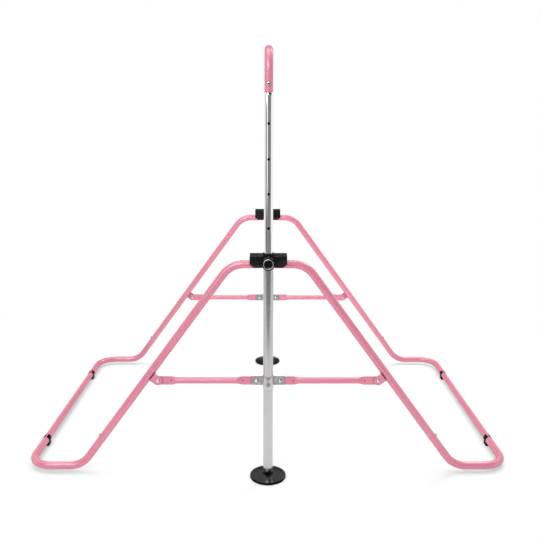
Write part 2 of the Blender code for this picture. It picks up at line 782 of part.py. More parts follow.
def make_leg(side):
    corners = [Vector((side * (pivot_x - STUB_OVERHANG), leg_y, SHOULDER_HEIGHT)),
               Vector((side * SHOULDER_SPREAD / 2, leg_y, SHOULDER_HEIGHT)), leg_end_point(side)]
    points = [corners[0], *bend(*corners, LEG_BEND), corners[2]]
    leg = union(tube(points, LEG_RADIUS, LEG_WALL), make_ear(side))
    pivot = Vector((side * pivot_x, leg_y, SHOULDER_HEIGHT))
    return cut(leg, hole_across(BOLT_RADIUS, pivot, 2 * LEG_RADIUS), button_hole(side))


def make_corner(side):
    """Bent base tube: plug into the leg, foot bend, then the bend into the side rail."""
    down = leg_direction(side)
    joint = leg_end_point(side) + down * SEAT_GAP
    foot = Vector((side * FOOT_SPREAD / 2, leg_y, BASE_HEIGHT))
    outer = Vector((side * RAIL_SPREAD / 2, leg_y, BASE_HEIGHT))
    end = Vector((outer.x, -corner_end, BASE_HEIGHT))
    plug = [joint - down * PLUG_LENGTH, joint]
    body = [joint + down * PLUG_SHOULDER]
    body += bend(joint, foot, outer, LEG_BEND)
    body += bend(foot, outer, end, BASE_BEND)
    body.append(end)
    radii = [plug_radius] * len(plug) + [LEG_RADIUS] * len(body)
    return cut(walled(swept(plug + body, radii), LEG_WALL), button_hole(side))


def make_rail(x):
    reach = corner_end + RAIL_PLUG
    points = [Vector((x, -reach, BASE_HEIGHT)), Vector((x, reach, BASE_HEIGHT))]
    return tube(points, plug_radius, LEG_WALL)


def make_button(side):
    """Domed snap button whose flange bears on the inside of the plug."""
    start, out = button_axis(side)
    inside = plug_radius - LEG_WALL
    flange = math.sqrt(inside ** 2 - BUTTON_FLANGE ** 2) - 2 * SEAT_GAP
    bottom = flange - BUTTON_FLANGE_HEIGHT
    profile = dome(BUTTON_RADIUS, LEG_RADIUS, BUTTON_REACH)
    profile += [(BUTTON_RADIUS, flange), (BUTTON_FLANGE, flange), (BUTTON_FLANGE, bottom), (0, bottom)]
    button = turned(profile, sides=SMALL_SIDES)
    button.transform(facing(start, out))
    return button


def make_pad(side):
    """Clip that grips the rail from below and carries it on a flat sole."""
    x = side * RAIL_SPREAD / 2
    low = -PAD_PLACE - PAD_LENGTH / 2
    high = low + PAD_LENGTH
    inner = plug_radius + SEAT_GAP
    clip = rod(inner + PAD_WALL, (x, low, BASE_HEIGHT), (x, high, BASE_HEIGHT), ROUND_SIDES)
    sole = box((x - PAD_SOLE / 2, low, 0), (x + PAD_SOLE / 2, high, BASE_HEIGHT))
    before = low - PAD_LENGTH
    after = high + PAD_LENGTH
    bore = rod(inner, (x, before, BASE_HEIGHT), (x, after, BASE_HEIGHT), ROUND_SIDES)
    half = PAD_MOUTH / 2
    mouth = box((x - half, before, BASE_HEIGHT), (x + half, after, BASE_HEIGHT + 2 * inner))
    return cut(union(clip, sole), bore, mouth)


def build():
    global part_collection, work_collection
    clear_scene()
    part_collection = add_collection("kip_bar")
    work_collection = add_collection("kip_bar_cutters")
    pink = make_finish("pink_powder_coat", (0.78, 0.23, 0.36), 0.32, 0.0)
    chrome = make_finish("chrome", (0.72, 0.73, 0.75), 0.12, 1.0)
    silver = make_finish("silver_coat", (0.62, 0.63, 0.65), 0.35, 0.6)
    zinc = make_finish("zinc", (0.55, 0.57, 0.60), 0.38, 1.0)
    dark = make_finish("black_steel", (0.03, 0.03, 0.032), 0.4, 0.8)
    black = make_finish("black_plastic", (0.02, 0.02, 0.022), 0.42, 0.0)
    rubber = make_finish("black_rubber", (0.025, 0.025, 0.027), 0.6, 0.0)

    ends = {}
    for end, turn in (("front", 0.0), ("rear", math.pi)):
        ends[end] = bpy.data.objects.new(f"{end}_end", None)
        ends[end].rotation_euler.z = turn
        part_collection.objects.link(ends[end])

    mast = Vector((0, post_y, bar_end))
    add_part("crossbar", prepared(make_crossbar(), (0, 0, bar_end)), (0, 0, bar_end), None, pink)
    at_both_ends(ends, "upright", make_upright(), mast, chrome)
    at_both_ends(ends, "bar_bolt", make_bar_bolt(), mast, zinc)

    post = Vector((0, post_y, 0))
    at_both_ends(ends, "lower_post", make_post(), post, silver)
    at_both_ends(ends, "hub", make_hub(), post, black)
    at_both_ends(ends, "guide_bush", make_bush(), post, black)
    at_both_ends(ends, "foot", make_foot(), post, rubber)
    hub_pivot = Vector((pivot_x, leg_y, SHOULDER_HEIGHT))
    on_both_sides(ends, "pivot_bolt", make_pivot_bolt, hub_pivot, dark)

    pin = Vector((0, hub_front, pin_height))
    at_both_ends(ends, "pin_housing", make_housing(), pin, black)
    at_both_ends(ends, "pin_plunger", make_plunger(), pin, zinc)
    at_both_ends(ends, "pin_spring", make_spring(), pin, zinc)
    at_both_ends(ends, "pin_knob", make_knob(), pin, black)

    collar = Vector((0, post_y, BRACE_HEIGHT))
    at_both_ends(ends, "collar", make_collar(), collar, zinc)
    at_both_ends(ends, "collar_lock", make_lock(), collar, zinc)
    tab_pivot = Vector((TAB_SPREAD / 2, brace_y, BRACE_HEIGHT))
    ear_pivot = Vector((-brace_pivot().x, brace_y, BRACE_HEIGHT))

    def tab_rivet(side):
        return make_rivet(side * tab_pivot.x, clasp_back)

    def ear_rivet(side):
        return make_rivet(side * ear_pivot.x, flat_back)

    on_both_sides(ends, "tab_rivet", tab_rivet, tab_pivot, zinc)
    on_both_sides(ends, "brace", make_brace, tab_pivot, pink)
    on_both_sides(ends, "ear_rivet", ear_rivet, ear_pivot, zinc)

    on_both_sides(ends, "leg", make_leg, ear_pivot, pink)
    on_both_sides(ends, "base_corner", make_corner, ear_pivot, pink)
    on_both_sides(ends, "floor_pad", make_pad, ear_pivot, rubber)
    button = leg_end_point(1) - leg_direction(1) * BUTTON_RISE
    on_both_sides(ends, "snap_button", make_button, button, zinc)
    for hand, side in (("left", -1), ("right", 1)):
        origin = Vector((side * ear_pivot.x, 0, BRACE_HEIGHT))
        rail = prepared(make_rail(side * RAIL_SPREAD / 2), origin)
        add_part(f"{hand}_base_rail", rail, origin, None, pink)
    bpy.data.collections.remove(work_collection)


build()
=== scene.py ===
import json
import math

import bmesh
import bpy
from mathutils import Matrix, Vector

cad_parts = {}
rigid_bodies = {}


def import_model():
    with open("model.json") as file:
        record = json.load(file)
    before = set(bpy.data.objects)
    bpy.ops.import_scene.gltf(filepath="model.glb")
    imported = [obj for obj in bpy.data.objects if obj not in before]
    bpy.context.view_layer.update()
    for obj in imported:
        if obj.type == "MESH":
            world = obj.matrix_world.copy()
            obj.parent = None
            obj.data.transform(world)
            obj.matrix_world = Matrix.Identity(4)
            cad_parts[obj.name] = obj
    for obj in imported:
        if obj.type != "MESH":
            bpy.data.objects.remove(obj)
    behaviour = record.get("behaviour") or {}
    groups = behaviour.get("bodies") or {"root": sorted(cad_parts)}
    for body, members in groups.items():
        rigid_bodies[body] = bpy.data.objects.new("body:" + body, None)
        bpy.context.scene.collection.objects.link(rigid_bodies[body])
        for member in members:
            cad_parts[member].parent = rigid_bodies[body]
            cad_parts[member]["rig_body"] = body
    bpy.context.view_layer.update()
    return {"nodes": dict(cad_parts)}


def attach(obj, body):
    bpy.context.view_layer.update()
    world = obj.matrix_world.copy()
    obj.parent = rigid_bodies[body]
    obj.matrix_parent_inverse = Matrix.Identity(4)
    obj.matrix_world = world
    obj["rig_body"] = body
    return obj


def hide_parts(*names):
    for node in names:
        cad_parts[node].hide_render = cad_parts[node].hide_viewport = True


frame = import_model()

scene = bpy.context.scene
alongBar = Vector((0, 1, 0))
upward = Vector((0, 0, 1))

# where the front end of the stand is; the rear end is the same, turned half round
postY = -0.595  # axis of the post
legY = -0.5609  # plane of the leg tubes
shoulderZ = 0.7785  # leg tubes at the hub
baseZ = 0.024  # base tubes above the floor
braceZ = 0.3595  # brace pivots
pinZ = 0.797  # pop pin
pinRadius = 0.0046
pinLead = 0.005  # the bore starts this far ahead of the hub
hubFront = -0.6161
hubBack = -0.5439
hubTop = 0.8155
barEnd = 1.3474  # lower ends of the crossbar
tabX = 0.0416  # brace pivot on the collar
earX = 0.39006  # brace pivot on the leg
plateFront = -0.5767  # front of the tabs and ears
flatBack = -0.5688  # back of the pressed brace ends
claspBack = -0.5655  # back of the second tabs
seatGap = 0.0003  # between pieces that only touch
overcut = 0.01  # cutters reach this far past what they cut
postAxis = Vector((0, postY, 0))


# shared effects; an input or output of a node is written as the node and the socket

def adjust(item, **values):
    for key, value in values.items():
        setattr(item, key, value)


def addNode(tree, kind, **values):
    node = tree.nodes.new("ShaderNode" + kind)
    for key, value in values.items():
        if key in node.inputs:
            node.inputs[key].default_value = value
        else:
            setattr(node, key, value)
    return node


def wire(tree, *links):
    for source, output, target, socket in links:
        tree.links.new(source.outputs[output], target.inputs[socket])


def remap(tree, source, limits, result=(0.0, 1.0), smooth=False):
    values = dict(zip(("From Min", "From Max", "To Min", "To Max"), (*limits, *result)))
    node = addNode(tree, "MapRange", interpolation_type="SMOOTHSTEP" if smooth else "LINEAR", **values)
    wire(tree, (*source, node, "Value"))
    return node, "Result"


def maths(tree, operation, first, second, clamp=False):
    node = addNode(tree, "Math", operation=operation, use_clamp=clamp)
    wire(tree, (*first, node, 0), (*second, node, 1))
    return node, 0


def mixColours(tree, share, first, second):
    # a mix node has its colours at the inputs 6 and 7 and the output 2; second may be a plain colour
    node = addNode(tree, "Mix", data_type="RGBA")
    wire(tree, (*share, node, 0), (*first, node, 6))
    if len(second) == 2:
        wire(tree, (*second, node, 7))
    else:
        node.inputs[7].default_value = (*second, 1)
    return node, 2


def newGroup(name, build, output, **inputs):
    # after the vector, a tuple is a colour and a number is a value; build gives the source of the output
    group = bpy.data.node_groups.new(name, "ShaderNodeTree")

    def socket(title, way, kind):
        return group.interface.new_socket(name=title, in_out=way, socket_type="NodeSocket" + kind)

    socket("Vector", "INPUT", "Vector")
    for title, value in inputs.items():
        socket(title, "INPUT", "Color" if isinstance(value, tuple) else "Float").default_value = value
    socket(output, "OUTPUT", "Color" if output == "Color" else "Float")
    start = group.nodes.new("NodeGroupInput")
    end = group.nodes.new("NodeGroupOutput")
    wire(group, (*build(group, start), end, output))
    return group


def noise(group, start, scale, **values):
    # scale is a number or the name of an input
    node = addNode(group, "TexNoise", **values)
    wire(group, (start, "Vector", node, "Vector"))
    if isinstance(scale, str):
        wire(group, (start, scale, node, "Scale"))
    else:
        node.inputs["Scale"].default_value = scale
    return node, "Fac"


def layDrift(group, start):
    # slow change between two close shades
    patch = noise(group, start, "Scale", Detail=3.0, Roughness=0.55)
    share = remap(group, patch, (0.32, 0.68), smooth=True)
    return mixColours(group, share, (start, "First"), (start, "Second"))


def laySheen(group, start):
    # roughness that wanders as on a handled surface
    patch = noise(group, start, "Scale", Detail=4.0, Roughness=0.6)
    spread, result = remap(group, patch, (0.3, 0.7))
    wire(group, (start, "Smooth", spread, "To Min"), (start, "Dull", spread, "To Max"))
    return spread, result


def layRelief(group, start):
    # orange peel of a coat or grain of a moulding, by its two scales
    broad = noise(group, start, "Broad", Detail=1.0)
    fine = noise(group, start, "Fine", Detail=2.0)
    mix = addNode(group, "Mix", data_type="FLOAT")
    wire(group, (start, "Share", mix, 0), (*broad, mix, 2), (*fine, mix, 3))
    return mix, 0


def layRubHighlight(group, start):
    # paler along outer edges: partly rubbed wear, partly a painted edge highlight
    edge = remap(group, (addNode(group, "NewGeometry"), "Pointiness"), (0.54, 0.66))
    masked = maths(group, "MULTIPLY", edge, noise(group, start, 90.0, Detail=3.0))
    amount = maths(group, "MULTIPLY", masked, (start, "Amount"))
    return mixColours(group, amount, (start, "Color"), (start, "Rubbed"))


def layBore(group, start):
    # painted shade: near black inside the bore of a tube that stands on the named axis at each end, so its
    # holes look dark
    parts = addNode(group, "SeparateXYZ")
    depth = addNode(group, "Math", operation="ABSOLUTE")
    flat = addNode(group, "CombineXYZ")
    reach = addNode(group, "VectorMath", operation="LENGTH")
    offset = maths(group, "SUBTRACT", (depth, 0), (start, "Axis"))
    wire(group, (start, "Vector", parts, 0), (parts, "Y", depth, 0), (parts, "X", flat, "X"),
         (*offset, flat, "Y"), (flat, 0, reach, 0))
    inside = maths(group, "LESS_THAN", (reach, "Value"), (start, "Radius"))
    below = maths(group, "LESS_THAN", (parts, "Z"), (start, "Top"))
    both = maths(group, "MULTIPLY", inside, below)
    return mixColours(group, both, (start, "Color"), (start, "Bare"))


def layCrevice(group, start):
    # painted shade, darker where pieces meet and in hollows, from ambient occlusion broken up by noise
    near = addNode(group, "AmbientOcclusion", samples=6, Distance=0.007)
    closed = remap(group, (near, "AO"), (0.97, 0.58))
    uneven = remap(group, noise(group, start, 160.0, Detail=2.0), (0.0, 1.0), (0.7, 1.3))
    masked = maths(group, "MULTIPLY", closed, uneven)
    amount = maths(group, "MULTIPLY", masked, (start, "Amount"), clamp=True)
    return mixColours(group, amount, (start, "Color"), (start, "Dark"))


white = (1, 1, 1, 1)
toneDrift = newGroup("toneDrift", layDrift, "Color", Scale=4.0, First=white, Second=(0.9, 0.9, 0.9, 1))
handledSheen = newGroup("handledSheen", laySheen, "Roughness", Scale=30.0, Smooth=0.2, Dull=0.3)
fineRelief = newGroup("fineRelief", layRelief, "Height", Broad=300.0, Fine=1200.0, Share=0.5)
edgeRubHighlight = newGroup("edgeRubHighlight", layRubHighlight, "Color", Color=white, Rubbed=white, Amount=0.3)
boreShade = newGroup("boreShade", layBore, "Color", Color=white, Bare=(0.03, 0.03, 0.03, 1), Axis=0.5,
                     Radius=0.01, Top=1.0)
creviceShade = newGroup("creviceShade", layCrevice, "Color", Color=white, Dark=(0, 0, 0, 1), Amount=0.5)
print("effects ready")


# finishes

def placeGroup(tree, group, place, **values):
    node = addNode(tree, "Group", node_tree=group, **values)
    wire(tree, (*place, node, "Vector"))
    return node


def makeFinish(name, ownLook):
    look = {**usualLook, **ownLook}
    material = bpy.data.materials.new(name)
    material.use_nodes = True
    tree = material.node_tree
    shader = tree.nodes["Principled BSDF"]
    place = (addNode(tree, "TexCoord"), "Object")
    drawn = place
    if "stretch" in look:
        stretch = addNode(tree, "Mapping", Scale=look["stretch"])
        wire(tree, (*place, stretch, "Vector"))
        drawn = (stretch, "Vector")
    # the tone drift, then paler outer edges that are partly rubbed wear and partly a painted edge highlight
    layers = [placeGroup(tree, toneDrift, place, Scale=look["drift"],
                         First=(*look["colour"], 1), Second=(*look["second"], 1)),
              placeGroup(tree, edgeRubHighlight, place, Rubbed=(*look["rubHighlightColour"], 1), Amount=look["rub"])]
    # painted shade inside the bore of a tube
    if "bore" in look:
        layers.append(placeGroup(tree, boreShade, place, **look["bore"]))
    # painted shade where pieces meet and in hollows
    if "crevice" in look:
        dark, amount = look["crevice"]
        layers.append(placeGroup(tree, creviceShade, place, Dark=(*dark, 1), Amount=amount))
    for under, over in zip(layers, layers[1:]):
        wire(tree, (under, "Color", over, "Color"))
    colour = (layers[-1], "Color")
    if "bounce" in look:  # keeps the tubes' tint out of their shadows on the paper
        path = addNode(tree, "LightPath")
        colour = mixColours(tree, (path, "Is Diffuse Ray"), colour, look["bounce"])
    sheen = placeGroup(tree, handledSheen, place, Scale=look["sheen"], Smooth=look["smooth"],
                       Dull=look["dull"])
    relief = placeGroup(tree, fineRelief, drawn, Broad=look["broad"], Fine=look["fine"], Share=look["share"])
    bump = addNode(tree, "Bump", Strength=look["bump"], Distance=look["depth"])
    wire(tree, (*colour, shader, "Base Color"), (sheen, "Roughness", shader, "Roughness"),
         (relief, "Height", bump, "Height"), (bump, "Normal", shader, "Normal"))
    for title, key in (("Metallic", "metallic"), ("Specular IOR Level", "specular"), ("Coat Weight", "coat"),
                       ("Coat Roughness", "coatRoughness")):
        shader.inputs[title].default_value = look[key]
    if "rim" in look:  # a thick soft coat mirrors less towards its outline
        outline = addNode(tree, "LayerWeight", Blend=0.5)
        for title in ("Coat Weight", "Specular IOR Level"):
            full = shader.inputs[title].default_value
            fall = remap(tree, (outline, "Facing"), (0.3, 0.75), (full, full * look["rim"]), smooth=True)
            wire(tree, (*fall, shader, title))
    return material


# In the looks, the paler edge colour is partly rubbed wear and partly a painted edge highlight, the crevice
# colour is painted shade where pieces meet, and the bore setting paints near black shade inside a tube.
usualLook = dict(
    rub=0.4, broad=900.0, fine=2600.0, share=0.5, depth=0.0004, metallic=0.0, specular=0.5, coat=0.0,
    coatRoughness=0.1,
)
pinkLook = dict(
    colour=(0.70, 0.204, 0.296), second=(0.668, 0.187, 0.274), drift=3.5, rubHighlightColour=(0.74, 0.31, 0.41),
    rub=0.5, sheen=26.0, smooth=0.26, dull=0.34, broad=420.0, fine=1500.0, share=0.35, bump=0.003,
    depth=0.0006, coat=0.9, coatRoughness=0.11, rim=0.08, crevice=((0.26, 0.05, 0.09), 0.75),
    bounce=(0.3, 0.3, 0.3),
)
chromeLook = dict(
    colour=(0.90, 0.905, 0.915), second=(0.85, 0.855, 0.865), drift=9.0, rubHighlightColour=(0.95, 0.95, 0.96),
    sheen=60.0, smooth=0.05, dull=0.10, stretch=(1, 1, 0.03), broad=260.0, fine=1400.0, share=0.3,
    bump=0.008, metallic=1.0, bore=dict(Axis=-postY, Radius=0.0143, Top=1.33),
)
silverLook = dict(
    colour=(0.56, 0.563, 0.57), second=(0.525, 0.528, 0.535), drift=7.0, rubHighlightColour=(0.68, 0.68, 0.69),
    sheen=45.0, smooth=0.18, dull=0.25, broad=700.0, bump=0.004, depth=0.0003, metallic=1.0,
    crevice=((0.1, 0.1, 0.1), 0.5),
)
zincLook = dict(
    colour=(0.50, 0.51, 0.512), second=(0.25, 0.256, 0.26), drift=230.0, rubHighlightColour=(0.85, 0.86, 0.86), rub=0.6,
    sheen=160.0, smooth=0.24, dull=0.46, broad=500.0, fine=2400.0, share=0.6, bump=0.06, metallic=1.0,
    crevice=((0.05, 0.05, 0.05), 0.75),
)
blackSteelLook = dict(
    colour=(0.016, 0.016, 0.017), second=(0.024, 0.024, 0.025), drift=120.0, rubHighlightColour=(0.12, 0.12, 0.12),
    rub=0.5, sheen=200.0, smooth=0.32, dull=0.45, bump=0.05, depth=0.0003, metallic=0.6,
)
plasticLook = dict(
    colour=(0.0055, 0.0055, 0.006), second=(0.009, 0.009, 0.0095), drift=25.0, rubHighlightColour=(0.05, 0.05, 0.052),
    rub=0.6, sheen=70.0, smooth=0.26, dull=0.36, share=0.55, bump=0.03, specular=0.07,
)
rubberLook = dict(
    colour=(0.009, 0.009, 0.0095), second=(0.013, 0.013, 0.0135), drift=30.0, rubHighlightColour=(0.05, 0.05, 0.052),
    sheen=50.0, smooth=0.15, dull=0.22, broad=700.0, fine=2200.0, share=0.4, bump=0.008, specular=0.72,
)
brightLook = dict(
    colour=(0.82, 0.82, 0.83), second=(0.74, 0.74, 0.75), drift=120.0, rubHighlightColour=(0.92, 0.92, 0.92),
    sheen=300.0, smooth=0.13, dull=0.25, fine=3000.0, bump=0.03, depth=0.0003, metallic=1.0,
    crevice=((0.03, 0.03, 0.03), 0.8),
)
dullLook = dict(
    colour=(0.003, 0.003, 0.0032), second=(0.0055, 0.0055, 0.006), drift=40.0, rubHighlightColour=(0.02, 0.02, 0.021),
    sheen=60.0, smooth=0.34, dull=0.5, broad=700.0, fine=2200.0, share=0.4, bump=0.02, specular=0.03,
)
finishes = {  # by the record's slots, and two of the scene's own
    "pink_powder_coat": makeFinish("pinkCoat", pinkLook),
    "chrome": makeFinish("chromePlate", chromeLook),
    "silver_coat": makeFinish("silverCoat", silverLook),
    "zinc": makeFinish("zincPlate", zincLook),
    "black_steel": makeFinish("blackSteel", blackSteelLook),
    "black_plastic": makeFinish("mouldedPlastic", plasticLook),
    "black_rubber": makeFinish("smoothRubber", rubberLook),
    "brightSteel": makeFinish("brightSteel", brightLook),
    "dullBlack": makeFinish("dullBlack", dullLook),
}
print("finishes ready")


# modelling helpers

mergeReach = 0.000004
tubeSides = 56


def newObject(name, data):
    obj = bpy.data.objects.new(name, data)
    scene.collection.objects.link(obj)
    return obj


def newMesh(name, bm):
    mesh = bpy.data.meshes.new(name)
    bm.to_mesh(mesh)
    bm.free()
    return mesh


def objectFrom(name, bm):
    return newObject(name, newMesh(name, bm))


def only(items, kind):
    return [item for item in items if isinstance(item, kind)]


def facing(origin, heading):
    turn = Vector(heading).to_track_quat("Z", "Y").to_matrix().to_4x4()
    return Matrix.Translation(Vector(origin)) @ turn


def startRing(origin, heading, radius, sides=tubeSides):
    bm = bmesh.new()
    ring = bmesh.ops.create_circle(bm, segments=sides, radius=radius, matrix=facing(origin, heading))["verts"]
    return bm, list({edge for vert in ring for edge in vert.link_edges})


def pushRing(bm, ring, offset, scale=1.0):
    # carry the open end on in a straight line, wider or narrower
    made = bmesh.ops.extrude_edge_only(bm, edges=ring)["geom"]
    verts = only(made, bmesh.types.BMVert)
    bmesh.ops.translate(bm, vec=offset, verts=verts)
    if scale != 1.0:
        middle = sum((vert.co for vert in verts), Vector()) / len(verts)
        bmesh.ops.scale(bm, vec=(scale,) * 3, space=Matrix.Translation(-middle), verts=verts)
    return [edge for edge in only(made, bmesh.types.BMEdge) if all(vert in verts for vert in edge.verts)]


def bendRing(bm, ring, centre, axis, angle, steps):
    verts = list({vert for edge in ring for vert in edge.verts})
    made = bmesh.ops.spin(bm, geom=verts + ring, cent=centre, axis=axis, angle=angle, steps=steps)
    return only(made["geom_last"], bmesh.types.BMEdge)


def followPath(bm, ring, corners, radii, step=0.075, fewest=6):
    # straight runs with a bend at each inner corner
    here = corners[0]
    heading = (corners[1] - corners[0]).normalized()
    for number, corner in enumerate(corners[1:-1]):
        onward = (corners[number + 2] - corner).normalized()
        angle = heading.angle(onward)
        setBack = radii[number] * math.tan(angle / 2)
        bendStart = corner - heading * setBack
        ring = pushRing(bm, ring, bendStart - here)
        axis = heading.cross(onward).normalized()
        centre = bendStart + axis.cross(heading) * radii[number]
        ring = bendRing(bm, ring, centre, axis, angle, max(fewest, round(angle / step)))
        here = corner + onward * setBack
        heading = onward
    return pushRing(bm, ring, corners[-1] - here)


def straightTube(start, heading, radius, stations, sides=tubeSides):
    bm, ring = startRing(start, heading, radius, sides)
    for before, after in zip(stations, stations[1:]):
        ring = pushRing(bm, ring, heading * (after - before))
    return bm


def closeUp(bm):
    bmesh.ops.remove_doubles(bm, verts=bm.verts, dist=mergeReach)
    bmesh.ops.recalc_face_normals(bm, faces=bm.faces)


def outward(bm, inside):
    # an open tube faces away from a point on its own axis
    closeUp(bm)
    bm.faces.ensure_lookup_table()
    near = min(bm.faces, key=lambda face: (face.calc_center_median() - inside).length)
    if near.normal.dot(near.calc_center_median() - inside) < 0:
        bmesh.ops.reverse_faces(bm, faces=bm.faces)


def bentTube(corners, radius, bends):
    bm, ring = startRing(corners[0], (corners[1] - corners[0]).normalized(), radius)
    followPath(bm, ring, corners, bends)
    outward(bm, corners[0])
    return bm


def turnProfile(points, origin, heading, steps, closed=False):
    # radius and height pairs spun about the heading
    bm = bmesh.new()
    verts = [bm.verts.new((radius, 0, height)) for radius, height in points]
    edges = [bm.edges.new(pair) for pair in zip(verts, verts[1:])]
    if closed:
        edges.append(bm.edges.new((verts[-1], verts[0])))
    bmesh.ops.spin(bm, geom=verts + edges, cent=(0, 0, 0), axis=(0, 0, 1), angle=math.tau,
                   steps=steps, use_merge=True)
    closeUp(bm)
    bmesh.ops.transform(bm, matrix=facing(origin, heading), verts=bm.verts)
    return bm


def offsets(points, radius, height):
    return [(radius + across, height + up) for across, up in points]


def quarter(steps):
    return [math.pi / 2 * number / steps for number in range(steps + 1)]


def roundCorner(radius, height, size, steps=4, top=True):
    # profile points of a quarter round below the top or above the bottom
    points = []
    for angle in quarter(steps):
        rise = size * math.sin(angle)
        run = size * math.cos(angle)
        if top:
            points.append((radius - size + rise, height - size + run))
        else:
            points.append((radius - size + run, height + size - rise))
    return points


def domePoints(radius, base, height, steps=6):
    return [(radius * math.sin(angle), base + height * math.cos(angle)) for angle in quarter(steps)]


def makeScrew(settings, top, seat, tail, place, heading, holes, steps=4):
    # low head with a flat middle, and a shaft behind its seat
    head = settings["head"]
    sag = settings.get("sag", 0.0)
    profile = [(0, top), (settings["flat"], top - sag)]
    profile += roundCorner(head, top - 2 * sag, settings["round"], steps)
    profile += [(head, seat), (settings["shaft"], seat), *tail]
    return turned(profile, place, heading, steps=48, holes=holes, sharp=32)


def block(low, high):
    bm = bmesh.new()
    bmesh.ops.create_cube(bm, size=1.0)
    low = Vector(low)
    high = Vector(high)
    bmesh.ops.scale(bm, vec=high - low, verts=bm.verts)
    bmesh.ops.translate(bm, vec=(low + high) / 2, verts=bm.verts)
    return bm


def drill(start, end, radius, sides=32):
    start = Vector(start)
    end = Vector(end)
    bm = bmesh.new()
    bmesh.ops.create_cone(bm, cap_ends=True, segments=sides, radius1=radius, radius2=radius,
                          depth=(end - start).length, matrix=facing((start + end) / 2, end - start))
    return bm


def span(edge, axis):
    first, second = edge.verts
    return abs(getattr(first.co, axis) - getattr(second.co, axis))


def roundEdges(bm, size, segments, wanted):
    edges = [edge for edge in bm.edges if wanted(edge)]
    bmesh.ops.bevel(bm, geom=edges, offset=size, segments=segments, profile=0.5, affect="EDGES", material=-1)


def finishMesh(bm, wall=0.0, holes=(), joins=(), edge=0.0, segments=2, sharp=35, edgeLimit=40):
    obj = objectFrom("scratch", bm)
    if wall:
        adjust(obj.modifiers.new("wall", "SOLIDIFY"), thickness=wall, offset=-1.0, use_even_offset=True)
    tools = []
    for operation, group in (("UNION", joins), ("DIFFERENCE", holes)):
        for tool in group:
            cutter = objectFrom("scratch", tool)
            adjust(obj.modifiers.new("fit", "BOOLEAN"), operation=operation, object=cutter)
            tools.append(cutter)
    if edge:
        adjust(obj.modifiers.new("edge", "BEVEL"), width=edge, segments=segments, limit_method="ANGLE",
               angle_limit=math.radians(edgeLimit))
        adjust(obj.modifiers.new("even", "WEIGHTED_NORMAL"), keep_sharp=True)
    obj.data.shade_smooth()
    bpy.context.view_layer.update()
    graph = bpy.context.evaluated_depsgraph_get()
    mesh = bpy.data.meshes.new_from_object(obj.evaluated_get(graph))
    for item in [obj] + tools:
        bpy.data.objects.remove(item, do_unlink=True)
    mesh.shade_smooth()
    if not edge:
        mesh.set_sharp_from_angle(angle=math.radians(sharp))
    return mesh


def turned(points, origin=postAxis, heading=upward, steps=64, closed=False, holes=(), sharp=50):
    return finishMesh(turnProfile(points, origin, heading, steps, closed), holes=holes, sharp=sharp)


def joined(*meshes):
    bm = bmesh.new()
    for mesh in meshes:
        bm.from_mesh(mesh)
    return newMesh("joined", bm)


def addPiece(name, mesh, slotName, body, stoodFor=(), coats=()):
    mesh.name = name
    for coat in coats or (slotName,):
        mesh.materials.append(finishes[coat])
    obj = newObject(name, mesh)
    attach(obj, body)
    if stoodFor:
        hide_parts(*stoodFor)


def atEnds(places, title, mesh, slotName, node, stands=True, coats=()):
    # one piece at the front and one at the rear, on the body that carries the named node there
    turnedMesh = mesh.copy()
    turnedMesh.transform(Matrix.Rotation(math.pi, 4, "Z"))
    for place, copy in zip(places, (mesh, turnedMesh)):
        carrier = f"{place}_{node}"
        body = frame["nodes"][carrier]["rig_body"]
        addPiece(f"{place}_{title}", copy, slotName, body, (carrier,) if stands else (), coats)


def bothEnds(title, mesh, *names, **choices):
    atEnds(("front", "rear"), title, mesh, *names, **choices)


def fourCorners(title, make, slotName, node, stands=True, coats=(), **settings):
    # a left and a right piece at the front; turned round, left becomes right
    for side, hand, other in ((-1, "left", "right"), (1, "right", "left")):
        places = (f"front_{hand}", f"rear_{other}")
        atEnds(places, title, make(side, **settings), slotName, node, stands, coats)


# crossbar

crossbarSet = dict(radius=0.0139, wall=0.0017, bend=0.07, top=1.4979, lip=0.0006)


def makeCrossbar():
    rise = crossbarSet["top"] - crossbarSet["radius"]
    front = postY
    corners = [Vector((0, front, barEnd)), Vector((0, front, rise)),
               Vector((0, -front, rise)), Vector((0, -front, barEnd))]
    bm = bentTube(corners, crossbarSet["radius"], [crossbarSet["bend"]] * 2)
    return finishMesh(bm, wall=crossbarSet["wall"], edge=crossbarSet["lip"])


addPiece("crossbar_tube", makeCrossbar(), "pink_powder_coat", "mast", ("crossbar",))
print("crossbar ready")


# uprights and the bolts that hold the crossbar

uprightSet = dict(
    radius=0.015, wall=0.0015, foot=0.647, spigot=0.0118, spigotLength=0.06, swage=0.006,
    neck=[(0, 0.0006), (0.0004, -0.0004), (0.0017, -0.0026)],  # from the spigot's foot
    slope=[(-0.0007, 0.0014), (-0.0002, 0.0004), (0, -0.0006), (0, -0.0016)],  # from the full tube
    holeRadius=0.0046, holePitch=0.1132, holeCount=5, holeMargin=0.007,
)


def makeUpright(radius, wall, foot, spigot, spigotLength, swage, neck, slope, holeRadius, holePitch,
                holeCount, holeMargin):
    shoulder = barEnd - seatGap
    outline = [(spigot, shoulder + spigotLength)] + offsets(neck, spigot, shoulder)
    outline += offsets(slope, radius, shoulder - swage)
    levels = [pinZ + number * holePitch for number in range(holeCount)]
    for level in reversed(levels):  # rings that keep each hole's facets to itself
        outline += [(radius, level + holeMargin), (radius, level - holeMargin)]
    bm = turnProfile(outline + [(radius, foot)], postAxis, upward, steps=96)
    middles = [Vector((0, postY, level)) for level in levels]
    outward(bm, middles[0])
    holes = [drill(middle, middle - alongBar * 2 * radius, holeRadius) for middle in middles]
    return finishMesh(bm, wall=wall, holes=holes)


barBoltSet = dict(
    rise=0.0258, seat=0.0143, head=0.0062, headHeight=0.0036, flat=0.0038, round=0.0022, shaft=0.003,
    end=0.0034, endLength=0.001, socket=0.0029, socketDepth=0.0026, nutEdge=0.0006,
)


